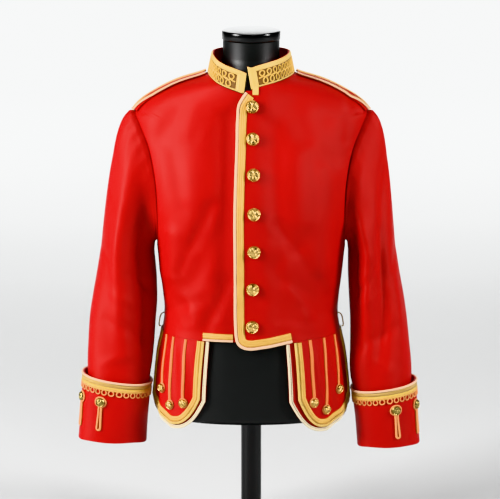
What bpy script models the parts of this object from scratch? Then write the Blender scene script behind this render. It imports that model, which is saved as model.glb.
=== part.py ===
"""A pipe band doublet worn by a limbless dress form on a pole.

Metres, +Z up. The origin is the centre of the base's underside. The doublet's front
faces -Y and the wearer's left is +X. A turn is the angle round the body: 0 at centre
front, a quarter turn at the wearer's left side, a half turn at centre back.
"""

import math

import bmesh
import bpy
import numpy as np
from mathutils import Vector

QUARTER = math.pi / 2
WALL = 0.002
SEAM_TURN = 0.0025
WAIST = 0.438

# The cloth's outer surface: height, half width, depth in front, depth behind, roundness.
BODY = (
    (0.240, 0.1945, 0.1280, 0.1180, 2.30),
    (0.300, 0.1925, 0.1280, 0.1160, 2.30),
    (0.350, 0.1885, 0.1265, 0.1120, 2.30),
    (0.400, 0.1815, 0.1235, 0.1040, 2.30),
    (0.438, 0.1740, 0.1197, 0.0980, 2.30),
    (0.468, 0.1700, 0.1188, 0.0965, 2.30),
    (0.500, 0.1715, 0.1194, 0.0980, 2.30),
    (0.550, 0.1770, 0.1230, 0.1040, 2.30),
    (0.613, 0.1840, 0.1280, 0.1120, 2.35),
    (0.690, 0.2000, 0.1300, 0.1190, 2.35),
    (0.760, 0.2105, 0.1250, 0.1210, 2.30),
    (0.810, 0.2175, 0.1150, 0.1180, 2.20),
    (0.845, 0.2240, 0.1070, 0.1130, 2.10),
    (0.868, 0.2245, 0.1020, 0.1080, 2.00),
    (0.886, 0.2090, 0.0990, 0.1030, 2.00),
    (0.908, 0.1750, 0.0945, 0.0930, 2.00),
    (0.925, 0.1370, 0.0895, 0.0830, 2.00),
    (0.938, 0.0945, 0.0840, 0.0745, 2.00),
    (0.943, 0.0815, 0.0815, 0.0705, 2.00),
    (0.950, 0.0660, 0.0790, 0.0660, 2.00),
)

# Neckline heights at centre front under and over the lap, at the side and behind.
NECK_UNDER = 0.906
NECK_OVER = 0.921
NECK_SIDE = 0.943
NECK_BACK = 0.945
NECK_ROUND = 0.6

# The armhole is an oval on the body, about the side.
ARMHOLE_MIDDLE = 0.7415
ARMHOLE_HALF_HEIGHT = 0.1285
ARMHOLE_HALF_TURN = math.radians(29)

# The lapped front edge: height, x. The lapped front's hem: x, height.
LAP_EDGE = (
    (0.422, -0.0328),
    (0.455, -0.0328),
    (0.600, -0.0330),
    (0.672, -0.0335),
    (0.823, -0.0293),
    (0.873, -0.0276),
    (0.899, -0.0241),
    (0.909, -0.0180),
    (0.921, -0.0095),
)
HEM = (
    (-0.0328, 0.4540),
    (-0.0310, 0.4420),
    (-0.0250, 0.4310),
    (-0.0150, 0.4240),
    (0.0000, 0.4220),
    (0.0400, 0.4275),
    (0.0790, 0.4345),
    (0.1100, 0.4380),
    (0.2000, 0.4380),
)
UNDER_HEM = 0.4375
UNDERLAP_X = 0.012
LAP_RISE = 0.0040
LAP_ENDS = 0.060
LAP_EASES_OVER = 0.035

# Folds, end to end: x, height, x, height, half width, depth.
FRONT_FOLDS = (
    (-0.142, 0.885, -0.172, 0.826, 0.018, 0.0040),
    (-0.078, 0.634, -0.134, 0.510, 0.020, 0.0055),
    (0.079, 0.895, 0.102, 0.832, 0.018, 0.0030),
    (0.135, 0.862, 0.162, 0.788, 0.018, 0.0040),
    (0.051, 0.583, 0.140, 0.497, 0.020, 0.0055),
)
BACK_FOLDS = (
    (-0.060, 0.850, -0.110, 0.780, 0.016, 0.0040),
    (0.060, 0.850, 0.110, 0.780, 0.016, 0.0040),
    (-0.050, 0.560, -0.120, 0.500, 0.016, 0.0045),
    (0.050, 0.560, 0.120, 0.500, 0.016, 0.0045),
)

# Columns of a front, or of half the back: where each starts on the hem, 0 to 1.
LAP_STARTS = (0.0, 0.012, 0.035, 0.08, 0.16)
NECK_STARTS = (0.0, 0.08, 0.16)
SHOULDER_STARTS = (0.24, 0.30, 0.36, 0.41, 0.46)
ARM_START = 0.51
AROUND = 20
ROWS = 15
ROWS_CLOSE_UP = 1.5
HEM_ROW = 0.04
RIDGE_BEND = 1.4

# Sleeve rings: height, outer edge, inner edge, middle y, half depth.
SLEEVES = {
    "right": (
        (0.335, 0.3195, 0.2015, -0.0275, 0.0480),
        (0.358, 0.3205, 0.1975, -0.0220, 0.0520),
        (0.413, 0.3185, 0.1900, -0.0170, 0.0560),
        (0.463, 0.3148, 0.1860, -0.0120, 0.0600),
        (0.500, 0.3090, 0.1830, -0.0080, 0.0640),
        (0.543, 0.3013, 0.1835, -0.0050, 0.0680),
        (0.598, 0.2920, 0.1880, -0.0020, 0.0730),
    ),
    "left": (
        (0.320, 0.3130, 0.2025, -0.0275, 0.0480),
        (0.345, 0.3145, 0.1960, -0.0220, 0.0520),
        (0.413, 0.3090, 0.1935, -0.0170, 0.0560),
        (0.463, 0.3035, 0.1930, -0.0120, 0.0600),
        (0.500, 0.2980, 0.1910, -0.0080, 0.0640),
        (0.543, 0.2900, 0.1885, -0.0050, 0.0680),
        (0.598, 0.2810, 0.1880, -0.0020, 0.0730),
    ),
}
SLEEVE_TOP = 0.598
SLEEVE_TILT = 0.11
SLEEVE_ROUND = 2.2
CAP_ROWS = 6
TUBE_ROWS = 7
CAP_OUT = 0.48
CAP_DOWN = -0.06
CAP_BULGE = 0.004
ARMHOLE_INSET = 0.0009
ARMHOLE_PROUD = 0.0005

# Long soft folds of a sleeve: place round it in degrees, low, high, half angle, depth.
SLEEVE_FOLDS = (
    (150.0, 0.36, 0.72, 24.0, 0.0050),
    (60.0, 0.34, 0.60, 26.0, 0.0035),
    (290.0, 0.36, 0.70, 26.0, 0.0045),
)

# Cuffs: height at the top and hem, outer and inner edge at the top, then at the hem.
CUFFS = {
    "right": (0.3470, 0.2225, 0.3285, 0.1960, 0.3400, 0.2060),
    "left": (0.3320, 0.2135, 0.3225, 0.1975, 0.3320, 0.2090),
}
CUFF_TOP_DEPTH, CUFF_HEM_DEPTH = 0.0570, 0.0460
CUFF_TOP_Y, CUFF_HEM_Y = -0.0260, -0.0340
CUFF_TOP_TILT, CUFF_HEM_TILT = 0.150, 0.070
CUFF_WALL = 0.0025
CUFF_ROWS = 3
CUFF_BRAID = 0.0190
CUFF_SEAT = 0.0006
SLEEVE_ENDS_AT = 0.45
CUFF_BUTTONS = {"right": (68.0, 20.0), "left": (75.0, 24.0)}
CUFF_BUTTON_DOWN = 0.044
LOOP_LENGTH = 0.056
LOOP_HALF_WIDTH = 0.0052
LOOP_CORD = 0.0024
LOOP_LOW = 0.0007
CUFF_SCALE = 0.058

COLLAR_RISE = 0.0400
COLLAR_LEAN = 0.0080
COLLAR_WALL = 0.003
COLLAR_LIFT = 0.0015
COLLAR_BRAID_FROM = 0.0026
COLLAR_BRAID = 0.0100
COLLAR_COLUMNS = 36
COLLAR_ROUND = 0.080
COLLAR_FRONTS = ((-0.0155, -0.0098), (0.0003, -0.0083))

BUTTON_HEIGHTS = (0.892, 0.832, 0.766, 0.692, 0.6185, 0.544, 0.469)
BUTTON_X = (0.0019, 0.0028, 0.0045, 0.0053, 0.0053, 0.0029, 0.0019)
BUTTON = (0.0125, 0.0058)
SMALL_BUTTON = (0.0102, 0.0046)
BUTTON_SIDES = 12
BUTTON_LOW = 0.0007
TOP_BUTTON_LOW = 0.0027

TRIM_LOW, TRIM_HIGH = 0.0009, 0.0023
FRONT_TRIM = 0.0190
RIGHT_HEM_TRIM = 0.0150
FLAP_TRIM = 0.0150
UNDER_TRIM = 0.0065

# Flaps, in degrees from centre front: inner edge, outer edge, tip. Heights of the tip,
# of the outer corner, and where the inner edge starts to round.
FLAPS = {
    "right_upper": (28.0, 86.0, 52.0, 0.266, 0.306, 0.322),
    "right_under": (24.5, 86.0, 52.0, 0.257, 0.297, 0.318),
    "left_upper": (25.0, 87.5, 47.0, 0.262, 0.302, 0.322),
    "left_under": (19.5, 87.5, 47.0, 0.253, 0.293, 0.318),
    "left_back": (175.5, 94.0, 133.0, 0.264, 0.304, 0.320),
    "right_back": (175.5, 94.0, 133.0, 0.264, 0.304, 0.320),
}
FLAP_SCALE = 0.163
FLAP_HANG = 0.0004
FLAP_ROUND = 3.0
UNDER_DEEPER = 0.0028
FLAP_ROWS = 5

# Braid bars: place across the flap at the top and at the button, button's height.
BARS = {
    "right": ((0.267, 0.216, 0.311), (0.500, 0.424, 0.303), (0.690, 0.600, 0.332)),
    "left": ((0.200, 0.185, 0.313), (0.416, 0.346, 0.296), (0.656, 0.573, 0.331)),
}
BAR_WIDTH = 0.0075

STRAP_NECK_X, STRAP_END_X = 0.0885, 0.2225
STRAP_NECK_HALF, STRAP_END_HALF = 0.018, 0.024
STRAP_LOW, STRAP_HIGH = 0.0016, 0.0046

# The form's neck: height, half width, front, back, roundness.
FORM_NECK = (
    (0.943, 0.0700, 0.0720, 0.0640, 2.0),
    (0.952, 0.0610, 0.0640, 0.0580, 2.0),
    (0.968, 0.0555, 0.0592, 0.0515, 2.0),
    (1.0065, 0.0545, 0.0585, 0.0505, 2.0),
)
FORM_HEIGHTS = (
    (0.270, 0.276, 0.300, 0.350, 0.400, 0.438, 0.468, 0.500, 0.550, 0.613, 0.690, 0.760)
    + (0.810, 0.845, 0.868, 0.886, 0.908, 0.925, 0.936)
)
FORM_GAP = 0.0096
FORM_SEAT = 0.0054
FORM_SIDES = 28
NECK_Y = -0.004
CAP_RADIUS, CAP_BOTTOM, CAP_TOP = 0.0565, 1.0069, 1.0250
POLE_RADIUS, POLE_BOTTOM, POLE_TOP = 0.0200, 0.0144, 0.2696
BASE_RADIUS, BASE_HEIGHT = 0.150, 0.014

HOOK_WIRE = 0.0012
HOOK = ((-0.0008, 0.470), (0.0065, 0.466), (0.0072, 0.447), (0.0055, 0.4405), (0.003, 0.4425))

COLOURS = {
    "red_wool": ((0.62, 0.010, 0.008), 0.80, 0.0),
    "gold_braid": ((0.70, 0.42, 0.10), 0.45, 0.3),
    "peach_braid": ((0.85, 0.40, 0.15), 0.50, 0.1),
    "brass": ((0.78, 0.52, 0.18), 0.28, 1.0),
    "black_form": ((0.008, 0.010, 0.009), 0.42, 0.0),
    "black_gloss": ((0.006, 0.006, 0.006), 0.12, 0.0),
}


def clear_scene():
    for obj in list(bpy.data.objects):
        bpy.data.objects.remove(obj, do_unlink=True)


def material(name):
    found = bpy.data.materials.get(name)
    if found:
        return found
    colour, roughness, metallic = COLOURS[name]
    found = bpy.data.materials.new(name)
    found.use_nodes = True
    shader = found.node_tree.nodes["Principled BSDF"]
    shader.inputs["Base Color"].default_value = (*colour, 1.0)
    shader.inputs["Roughness"].default_value = roughness
    shader.inputs["Metallic"].default_value = metallic
    return found


def smooth(table, at):
    """The table's columns where its first one is at, on a smooth curve through the rows."""
    rows = np.array(table)
    key, values = rows[:, 0], rows[:, 1:]
    slopes = np.gradient(values, key, axis=0)
    at = np.clip(np.asarray(at, float), key[0], key[-1])
    row = np.clip(np.searchsorted(key, at) - 1, 0, len(key) - 2)
    step = (key[row + 1] - key[row])[..., None]
    t = (at - key[row])[..., None] / step
    start = (2 * t**3 - 3 * t**2 + 1) * values[row]
    start = start + (t**3 - 2 * t**2 + t) * step * slopes[row]
    end = (3 * t**2 - 2 * t**3) * values[row + 1]
    return start + end + (t**3 - t**2) * step * slopes[row + 1]


def ease(value):
    value = np.clip(value, 0.0, 1.0)
    return value * value * (3 - 2 * value)


def ring_point(turn, height, table):
    half_width, front, back, power = np.moveaxis(smooth(table, height), -1, 0)
    sine, cosine = np.sin(turn), np.cos(turn)
    depth = np.where(cosine > 0, front, back)
    x = half_width * np.sign(sine) * np.abs(sine) ** (2 / power)
    y = -depth * np.sign(cosine) * np.abs(cosine) ** (2 / power)
    return np.stack([x, y, np.broadcast_to(height, x.shape)], -1)


def body_skin(turn, height):
    return ring_point(np.asarray(turn, float), np.asarray(height, float), BODY)


def body_normal(turn, height):
    side, up = 0.01, 0.002
    across = body_skin(turn + side, height) - body_skin(turn - side, height)
    along = body_skin(turn, height + up) - body_skin(turn, height - up)
    normal = np.cross(across, along)
    return normal / np.linalg.norm(normal, axis=-1, keepdims=True)


def fold_depth(points, folds):
    """How far the troughs in a table pull each point of the cloth in."""
    total = np.zeros(points.shape[:-1])
    flat = points[..., [0, 2]]
    for x_from, z_from, x_to, z_to, half_width, depth in folds:
        start = np.array([x_from, z_from])
        run = np.array([x_to, z_to]) - start
        along = np.clip((flat - start) @ run / (run @ run), 0.0, 1.0)
        away = np.linalg.norm(flat - start - along[..., None] * run, axis=-1)
        total += depth * np.exp(-((away / half_width) ** 2))
    return total


def body_point(turn, height, out=0.0):
    """A point of the doublet's body, moved out from the cloth's outer surface."""
    turn = np.asarray(turn, float)
    turn, height = np.broadcast_arrays(turn, np.asarray(height, float))
    point = body_skin(turn, height)
    front = (np.cos(turn) > 0) & (height > WAIST)
    back = (np.cos(turn) <= 0) & (height > WAIST)
    depth = np.where(front, fold_depth(point, FRONT_FOLDS), 0.0)
    depth = depth + np.where(back, fold_depth(point, BACK_FOLDS), 0.0)
    return point + (out - depth)[..., None] * body_normal(turn, height)


def turn_at(x, height):
    """The turn, in front, at which the body is x from its middle."""
    half_width, _, _, power = np.moveaxis(smooth(BODY, height), -1, 0)
    share = np.clip(np.abs(x) / half_width, 0.0, 1.0)
    return np.sign(x) * np.arcsin(share ** (power / 2))


def lap_out(turn, height):
    """How far the upper front stands out where it laps over the other one."""
    x = body_skin(turn, height)[..., 0]
    return LAP_RISE * ease((LAP_ENDS - x) / LAP_EASES_OVER)


def lap_x(height):
    return smooth(LAP_EDGE, height)[..., 0]


def hem_height(x):
    return np.interp(x, [row[0] for row in HEM], [row[1] for row in HEM])


def neck_height(turn, front):
    round_off = abs(math.sin(turn)) ** NECK_ROUND
    start = front if math.cos(turn) > 0 else NECK_BACK
    return start + (NECK_SIDE - start) * round_off


def wall(name, outer, inner, wrap, colour):
    """A closed wall between two grids of points, rows by columns, closed round if wrap."""
    rows, columns = outer.shape[:2]
    mesh = bmesh.new()
    grids = [[[mesh.verts.new(point) for point in row] for row in grid] for grid in (outer, inner)]
    count = columns if wrap else columns - 1
    for grid in grids:
        for j in range(rows - 1):
            for i in range(count):
                k = (i + 1) % columns
                mesh.faces.new((grid[j][i], grid[j][k], grid[j + 1][k], grid[j + 1][i]))
    top, under = grids
    for j in (0, rows - 1):
        for i in range(count):
            k = (i + 1) % columns
            mesh.faces.new((top[j][i], under[j][i], under[j][k], top[j][k]))
    if not wrap:
        for i in (0, columns - 1):
            for j in range(rows - 1):
                mesh.faces.new((top[j][i], top[j + 1][i], under[j + 1][i], under[j][i]))
    return finish(name, mesh, colour)


def finish(name, mesh, colour):
    bmesh.ops.recalc_face_normals(mesh, faces=mesh.faces)
    data = bpy.data.meshes.new(name)
    mesh.to_mesh(data)
    mesh.free()
    data.shade_smooth()
    data.set_sharp_from_angle(angle=math.radians(50))
    return place(name, data, colour)


def place(name, data, colour):
    obj = bpy.data.objects.new(name, data)
    if not data.materials:
        data.materials.append(material(colour))
    parts.objects.link(obj)
    obj.parent = stand
    return obj


def turned_mesh(name, profile, sides):
    """A profile of (radius, height), top to bottom, turned about Z."""
    mesh = bmesh.new()
    points = [mesh.verts.new((radius, 0.0, height)) for radius, height in profile]
    edges = [mesh.edges.new(pair) for pair in zip(points, points[1:])]
    bmesh.ops.spin(
        mesh,
        geom=points + edges,
        cent=(0, 0, 0),
        axis=(0, 0, 1),
        angle=2 * math.pi,
        steps=sides,
        use_merge=True,
    )
    bmesh.ops.remove_doubles(mesh, verts=mesh.verts, dist=0.00001)
    bmesh.ops.recalc_face_normals(mesh, faces=mesh.faces)
    data = bpy.data.meshes.new(name)
    mesh.to_mesh(data)
    mesh.free()
    data.shade_smooth()
    data.set_sharp_from_angle(angle=math.radians(50))
    return data


def button_mesh(name, size):
    radius, rise = size
    profile = (
        (0.0, rise),
        (0.55 * radius, 0.90 * rise),
        (0.88 * radius, 0.58 * rise),
        (radius, 0.25 * rise),
        (0.96 * radius, 0.0),
        (0.0, 0.0),
    )
    return turned_mesh(name, profile, BUTTON_SIDES)


def set_on(obj, point, normal):
    obj.location = Vector(point)
    obj.rotation_euler = Vector(normal).to_track_quat("Z", "Y").to_euler()


def inset(path, width):
    """The path moved to its left by width, mitred at its corners."""
    runs = np.diff(path, axis=0)
    runs /= np.linalg.norm(runs, axis=1, keepdims=True)
    left = np.stack([-runs[:, 1], runs[:, 0]], -1)
    before = np.vstack([left[:1], left])
    after = np.vstack([left, left[-1:]])
    middle = before + after
    middle /= np.linalg.norm(middle, axis=1, keepdims=True)
    reach = np.clip((middle * after).sum(1, keepdims=True), 0.5, 1.0)
    return path + width * middle / reach


def strip(name, path, width, point_of, colour="gold_braid"):
    """A flat band along a path on a panel, made from the panel's points moved out."""
    sides = np.stack([path, inset(path, width)], 1)
    top = point_of(sides[..., 0], sides[..., 1], TRIM_HIGH)
    under = point_of(sides[..., 0], sides[..., 1], TRIM_LOW)
    return wall(name, top, under, False, colour)


def armhole_edge(height):
    """How far across a front or half the back the cloth reaches, 0 to 1."""
    level = np.clip((height - ARMHOLE_MIDDLE) / ARMHOLE_HALF_HEIGHT, -1.0, 1.0)
    return 1.0 - ARMHOLE_HALF_TURN / QUARTER * math.sqrt(1.0 - level**2)


def arm_column(angle):
    """Where the column that ends at this place on the armhole starts on the hem."""
    waist = armhole_edge(ARMHOLE_MIDDLE)
    if angle < QUARTER:
        return ARM_START + (waist - ARM_START) * angle / QUARTER
    return armhole_edge(ARMHOLE_MIDDLE + ARMHOLE_HALF_HEIGHT * math.cos(angle))


def half_panel(edge_of, front, low_of, neck_starts):
    """Turns from centre and heights of a front or half the back, columns by rows."""
    limit = QUARTER - SEAM_TURN
    top = ARMHOLE_MIDDLE + ARMHOLE_HALF_HEIGHT
    ends = []
    for i, start in enumerate(SHOULDER_STARTS):
        ends.append((NECK_SIDE + (i / len(SHOULDER_STARTS)) ** RIDGE_BEND * (top - NECK_SIDE), start))
    for angle in np.linspace(0.0, math.pi, AROUND // 2 + 1):
        ends.append((ARMHOLE_MIDDLE + ARMHOLE_HALF_HEIGHT * math.cos(angle), arm_column(angle)))
    ends = ends[::-1]

    def turn_of(start, height):
        last = np.interp(height, [end[0] for end in ends], [end[1] for end in ends])
        edge = edge_of(height)
        return edge + armhole_edge(height) * start / last * (limit - edge)

    def neck_top(start):
        low, high = front, NECK_SIDE
        for _ in range(30):
            middle = (low + high) / 2
            rise = math.sin(max(turn_of(start, middle), 0.0)) ** NECK_ROUND
            above = front + (NECK_SIDE - front) * rise > middle
            if above == (front < NECK_SIDE):
                low = middle
            else:
                high = middle
        return low

    columns = [(start, neck_top(start)) for start in neck_starts]
    columns += [(start, height) for height, start in ends[::-1]]
    levels = [0.0, HEM_ROW] + [1 - (1 - j / ROWS) ** ROWS_CLOSE_UP for j in range(1, ROWS + 1)]
    grid = np.zeros((len(columns), len(levels), 2))
    for i, (start, height) in enumerate(columns):
        low = low_of(turn_of(start, WAIST))
        for j, t in enumerate(levels):
            now = low + (height - low) * t
            grid[i, j] = (turn_of(start, now), now)
    return grid


def make_fronts():
    def over_edge(height):
        return float(turn_at(lap_x(height), height))

    def over_low(turn):
        return float(hem_height(body_skin(turn, WAIST)[0]))

    grid = half_panel(over_edge, NECK_OVER, over_low, LAP_STARTS)
    turn, height = grid[..., 0], grid[..., 1]
    rise = lap_out(turn, height)
    outer = body_point(turn, height, rise)
    wall("front_left", outer, body_point(turn, height, rise - WALL), False, "red_wool")

    def under_edge(height):
        return float(turn_at(-UNDERLAP_X, height))

    grid = half_panel(under_edge, NECK_UNDER, lambda turn: UNDER_HEM, NECK_STARTS)
    turn, height = -grid[..., 0], grid[..., 1]
    outer = body_point(turn, height)
    wall("front_right", outer, body_point(turn, height, -WALL), False, "red_wool")


def make_back():
    half = half_panel(lambda height: 0.0, NECK_BACK, lambda turn: WAIST, NECK_STARTS)
    left = half.copy()
    left[..., 0] = math.pi - half[..., 0]
    right = half[:0:-1].copy()
    right[..., 0] = math.pi + right[..., 0]
    grid = np.concatenate([right, left])
    turn, height = grid[..., 0], grid[..., 1]
    outer = body_point(turn, height)
    wall("back", outer, body_point(turn, height, -WALL), False, "red_wool")


def cuff_skin(side, angle, share):
    """A cuff's outer surface: angle 0 is the outside of the arm, a quarter is its front."""
    top, hem, outer_top, inner_top, outer_hem, inner_hem = CUFFS[side]
    outer = outer_top + (outer_hem - outer_top) * share
    inner = inner_top + (inner_hem - inner_top) * share
    tilt = CUFF_TOP_TILT + (CUFF_HEM_TILT - CUFF_TOP_TILT) * share
    depth = CUFF_TOP_DEPTH + (CUFF_HEM_DEPTH - CUFF_TOP_DEPTH) * share
    y = CUFF_TOP_Y + (CUFF_HEM_Y - CUFF_TOP_Y) * share
    return oval(side, angle, (outer + inner) / 2, (outer - inner) / 2, y, depth, top + (hem - top) * share, tilt)


def oval(side, angle, middle, half, y, depth, height, tilt):
    cosine, sine = np.cos(angle), np.sin(angle)
    across = half * np.sign(cosine) * np.abs(cosine) ** (2 / SLEEVE_ROUND)
    forward = depth * np.sign(sine) * np.abs(sine) ** (2 / SLEEVE_ROUND)
    sign = 1.0 if side == "left" else -1.0
    return np.stack([sign * (middle + across), y - forward, height + tilt * across], -1)


def cuff_point(side, angle, share, out):
    angle, share = np.broadcast_arrays(np.asarray(angle, float), np.asarray(share, float))
    turn, down = 0.02, 0.02
    across = cuff_skin(side, angle + turn, share) - cuff_skin(side, angle - turn, share)
    along = cuff_skin(side, angle, share + down) - cuff_skin(side, angle, share - down)
    normal = np.cross(across, along) * (1.0 if side == "left" else -1.0)
    normal /= np.linalg.norm(normal, axis=-1, keepdims=True)
    return cuff_skin(side, angle, share) + np.asarray(out)[..., None] * normal


def grid_normals(grid):
    """Outward normals of a tube's grid, rows down by columns round."""
    around = np.roll(grid, -1, 1) - np.roll(grid, 1, 1)
    down = np.gradient(grid, axis=0)
    normal = np.cross(around, down)
    return normal / np.linalg.norm(normal, axis=-1, keepdims=True)


def armhole(side, angle):
    """The sleeve's seam, just inside the armhole: turns and heights."""
    height = ARMHOLE_MIDDLE + (ARMHOLE_HALF_HEIGHT - ARMHOLE_INSET) * np.cos(angle)
    reach = ARMHOLE_HALF_TURN - ARMHOLE_INSET / SLEEVES[side][-1][2]
    turn = QUARTER - reach * np.sin(angle)
    return turn if side == "left" else -turn, height


def sleeve_grid(side):
    """A sleeve's outer surface, from the armhole seam to its end inside the cuff."""
    sign = 1.0 if side == "left" else -1.0
    angle = 2 * math.pi * np.arange(AROUND) / AROUND
    turn, height = armhole(side, angle)
    seam = body_point(turn, height, ARMHOLE_PROUD) * [sign, 1.0, 1.0]
    first = tube_ring(side, angle, SLEEVE_TOP)
    first_left = first * [sign, 1.0, 1.0]
    far = np.linalg.norm(first_left - seam, axis=1, keepdims=True)
    leave = far * np.array([CAP_OUT, 0.0, CAP_DOWN])
    arrive = far * np.array([SLEEVE_TILT, 0.0, -1.0])
    rows = []
    for j in range(CAP_ROWS):
        t = (j / CAP_ROWS) ** 1.25
        point = (2 * t**3 - 3 * t**2 + 1) * seam + (t**3 - 2 * t**2 + t) * leave
        point = point + (3 * t**2 - 2 * t**3) * first_left + (t**3 - t**2) * arrive
        bulge = CAP_BULGE * math.sin(math.pi * min(1.0, 2.2 * t)) * (1 + np.cos(angle)) / 2
        point = point + bulge[:, None] * np.array([0.5, 0.0, 0.87])
        rows.append(point * [sign, 1.0, 1.0])
    low = SLEEVES[side][0][0]
    for j in range(TUBE_ROWS + 1):
        rows.append(tube_ring(side, angle, SLEEVE_TOP + (low - SLEEVE_TOP) * j / TUBE_ROWS))
    rows.append(cuff_point(side, angle, SLEEVE_ENDS_AT, -CUFF_WALL - CUFF_SEAT))
    grid = np.array(rows)
    normals = grid_normals(grid) * sign
    centre = np.degrees(angle)
    from_seam = ease(np.arange(len(grid)) / 4)[:, None]
    for place_round, bottom, top, half_angle, depth in SLEEVE_FOLDS:
        away = (centre - place_round + 180) % 360 - 180
        level = grid[..., 2]
        span = from_seam * ease((level - bottom) / 0.08) * ease((top - level) / 0.08)
        grid = grid - (depth * span * np.exp(-((away / half_angle) ** 2)))[..., None] * normals
    return grid


def tube_ring(side, angle, height):
    outer, inner, y, depth = smooth(SLEEVES[side], height)
    return oval(side, angle, (outer + inner) / 2, (outer - inner) / 2, y, depth, height, SLEEVE_TILT)


def make_sleeve(side):
    sign = 1.0 if side == "left" else -1.0
    grid = sleeve_grid(side)
    normals = grid_normals(grid) * sign
    angle = 2 * math.pi * np.arange(AROUND) / AROUND
    upper = ease((np.cos(angle) + 0.6) / 0.8)[:, None]
    normals[0] = upper * body_normal(*armhole(side, angle)) + (1 - upper) * normals[0]
    normals[0] /= np.linalg.norm(normals[0], axis=-1, keepdims=True)
    wall(f"sleeve_{side}", grid, grid - WALL * normals, True, "red_wool")


def make_cuff(side):
    angle = 2 * math.pi * np.arange(AROUND) / AROUND
    share = np.linspace(0.0, 1.0, CUFF_ROWS + 1)[:, None]
    outer = cuff_point(side, angle[None], share, 0.0)
    inner = cuff_point(side, angle[None], share, -CUFF_WALL)
    wall(f"cuff_{side}", outer, inner, True, "red_wool")
    deep = CUFFS[side][0] - CUFFS[side][1]
    share = np.array([[0.004], [CUFF_BRAID / deep]])
    outer = cuff_point(side, angle[None], share, TRIM_HIGH)
    inner = cuff_point(side, angle[None], share, TRIM_LOW)
    wall(f"cuff_braid_{side}", outer, inner, True, "gold_braid")
    for index, degrees in enumerate(CUFF_BUTTONS[side]):
        make_cuff_button(side, index + 1, math.radians(degrees), deep)


def make_cuff_button(side, number, angle, deep):
    """A cuff button with the long cord loop that hangs from it."""
    name = f"cuff_button_{side}_{number}"
    share = CUFF_BUTTON_DOWN / deep
    at = cuff_point(side, angle, share, BUTTON_LOW)
    normal = at - cuff_point(side, angle, share, 0.0)
    rings = []
    for half in (LOOP_HALF_WIDTH, LOOP_HALF_WIDTH - LOOP_CORD):
        low, high = LOOP_HALF_WIDTH, LOOP_LENGTH - LOOP_HALF_WIDTH
        bend = np.linspace(0.0, math.pi, 4)
        foot = np.stack([half * np.cos(bend), high + half * np.sin(bend)], -1)
        head = np.stack([-half * np.cos(bend), low - half * np.sin(bend)], -1)
        middle = (low + high) / 2
        rings.append(np.vstack([[(half, middle)], foot, [(-half, middle)], head]))
    flat = np.stack(rings)
    turn = angle - flat[..., 0] / CUFF_SCALE
    level = share + flat[..., 1] / deep
    top = cuff_point(side, turn, level, LOOP_LOW + LOOP_CORD)
    under = cuff_point(side, turn, level, LOOP_LOW)
    loop = wall(name, top, under, True, "gold_braid")
    button = bpy.data.objects.new(f"{name}_cap", button_mesh(f"{name}_cap", SMALL_BUTTON))
    set_on(button, at, normal)
    fuse(loop, button)


def fuse(obj, other):
    cutters.objects.link(other)
    other.parent = stand
    other.hide_render = True
    other.display_type = "WIRE"
    union = obj.modifiers.new("Fuse", "BOOLEAN")
    union.operation = "UNION"
    union.solver = "EXACT"
    union.object = other


def collar_point(place_round, share, out):
    """The collar's outer face: place 0 at its right front edge, 1 at its left one."""
    right, left = COLLAR_FRONTS
    first = turn_at(right[0] + (right[1] - right[0]) * share, NECK_UNDER)
    last = 2 * math.pi + turn_at(left[0] + (left[1] - left[0]) * share, NECK_OVER)
    turn = first + (-(2 * math.pi) + (last - 2 * math.pi) - first) * place_round
    front = NECK_UNDER if turn > -math.pi else NECK_OVER
    base = body_skin(turn, neck_height(turn, front))
    flat = body_normal(turn, np.asarray(NECK_UNDER - 0.05)) * [1.0, 1.0, 0.0]
    flat = flat / np.linalg.norm(flat)
    lift = COLLAR_LIFT + COLLAR_RISE * share
    return base + flat * (out - COLLAR_LEAN * share) + np.array([0.0, 0.0, lift])


def collar_grid(places, shares, out):
    return np.array([[collar_point(p, s, out) for p in places] for s in shares])


def make_collar():
    places = np.linspace(0.0, 1.0, COLLAR_COLUMNS + 1)
    shares = np.linspace(0.0, 1.0, 3)
    outer = collar_grid(places, shares, 0.0)
    inner = collar_grid(places, shares, -COLLAR_WALL)
    wall("collar", outer, inner, False, "red_wool")
    around = 2 * math.pi * COLLAR_ROUND
    top = [(p * around, COLLAR_RISE) for p in places]
    low, half = COLLAR_BRAID_FROM, COLLAR_RISE / 2
    path = [(0.0, low), (0.0, half)] + top + [(around, half), (around, low)]
    path = np.array(path[::-1])

    def point_of(across, up, out):
        flat = [collar_point(a / around, u / COLLAR_RISE, out) for a, u in zip(across.ravel(), up.ravel())]
        return np.array(flat).reshape(*across.shape, 3)

    strip("collar_braid", path, COLLAR_BRAID, point_of)


def front_trim_point(x, height, out):
    turn = turn_at(x, height)
    return body_point(turn, height, lap_out(turn, height) + out)


def make_front_trims():
    heights = np.linspace(NECK_OVER - 0.002, HEM[0][1] + 0.012, 18)
    edge = [(float(lap_x(height)), height) for height in heights]
    hem = [(x, float(hem_height(x))) for x in (-0.0328, -0.031, -0.0275, -0.0225, -0.015, -0.006)]
    hem += [(x, float(hem_height(x))) for x in (0.005, 0.02, 0.04, 0.06, 0.079)]
    strip("front_braid_left", np.array(edge + hem), FRONT_TRIM, front_trim_point)
    across = np.linspace(-0.0925, -0.0350, 5)
    path = np.array([(x, UNDER_HEM) for x in across])

    def point_of(x, height, out):
        return body_point(turn_at(x, height), height, out)

    strip("hem_braid_right", path, RIGHT_HEM_TRIM, point_of)


def make_front_buttons():
    data = button_mesh("front_button", BUTTON)
    for index, (x, height) in enumerate(zip(BUTTON_X, BUTTON_HEIGHTS)):
        button = place(f"front_button_{index + 1}", data, "brass")
        low = TOP_BUTTON_LOW if index == 0 else BUTTON_LOW
        at = front_trim_point(x, height, low)
        set_on(button, at, body_normal(turn_at(x, height), height))


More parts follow.
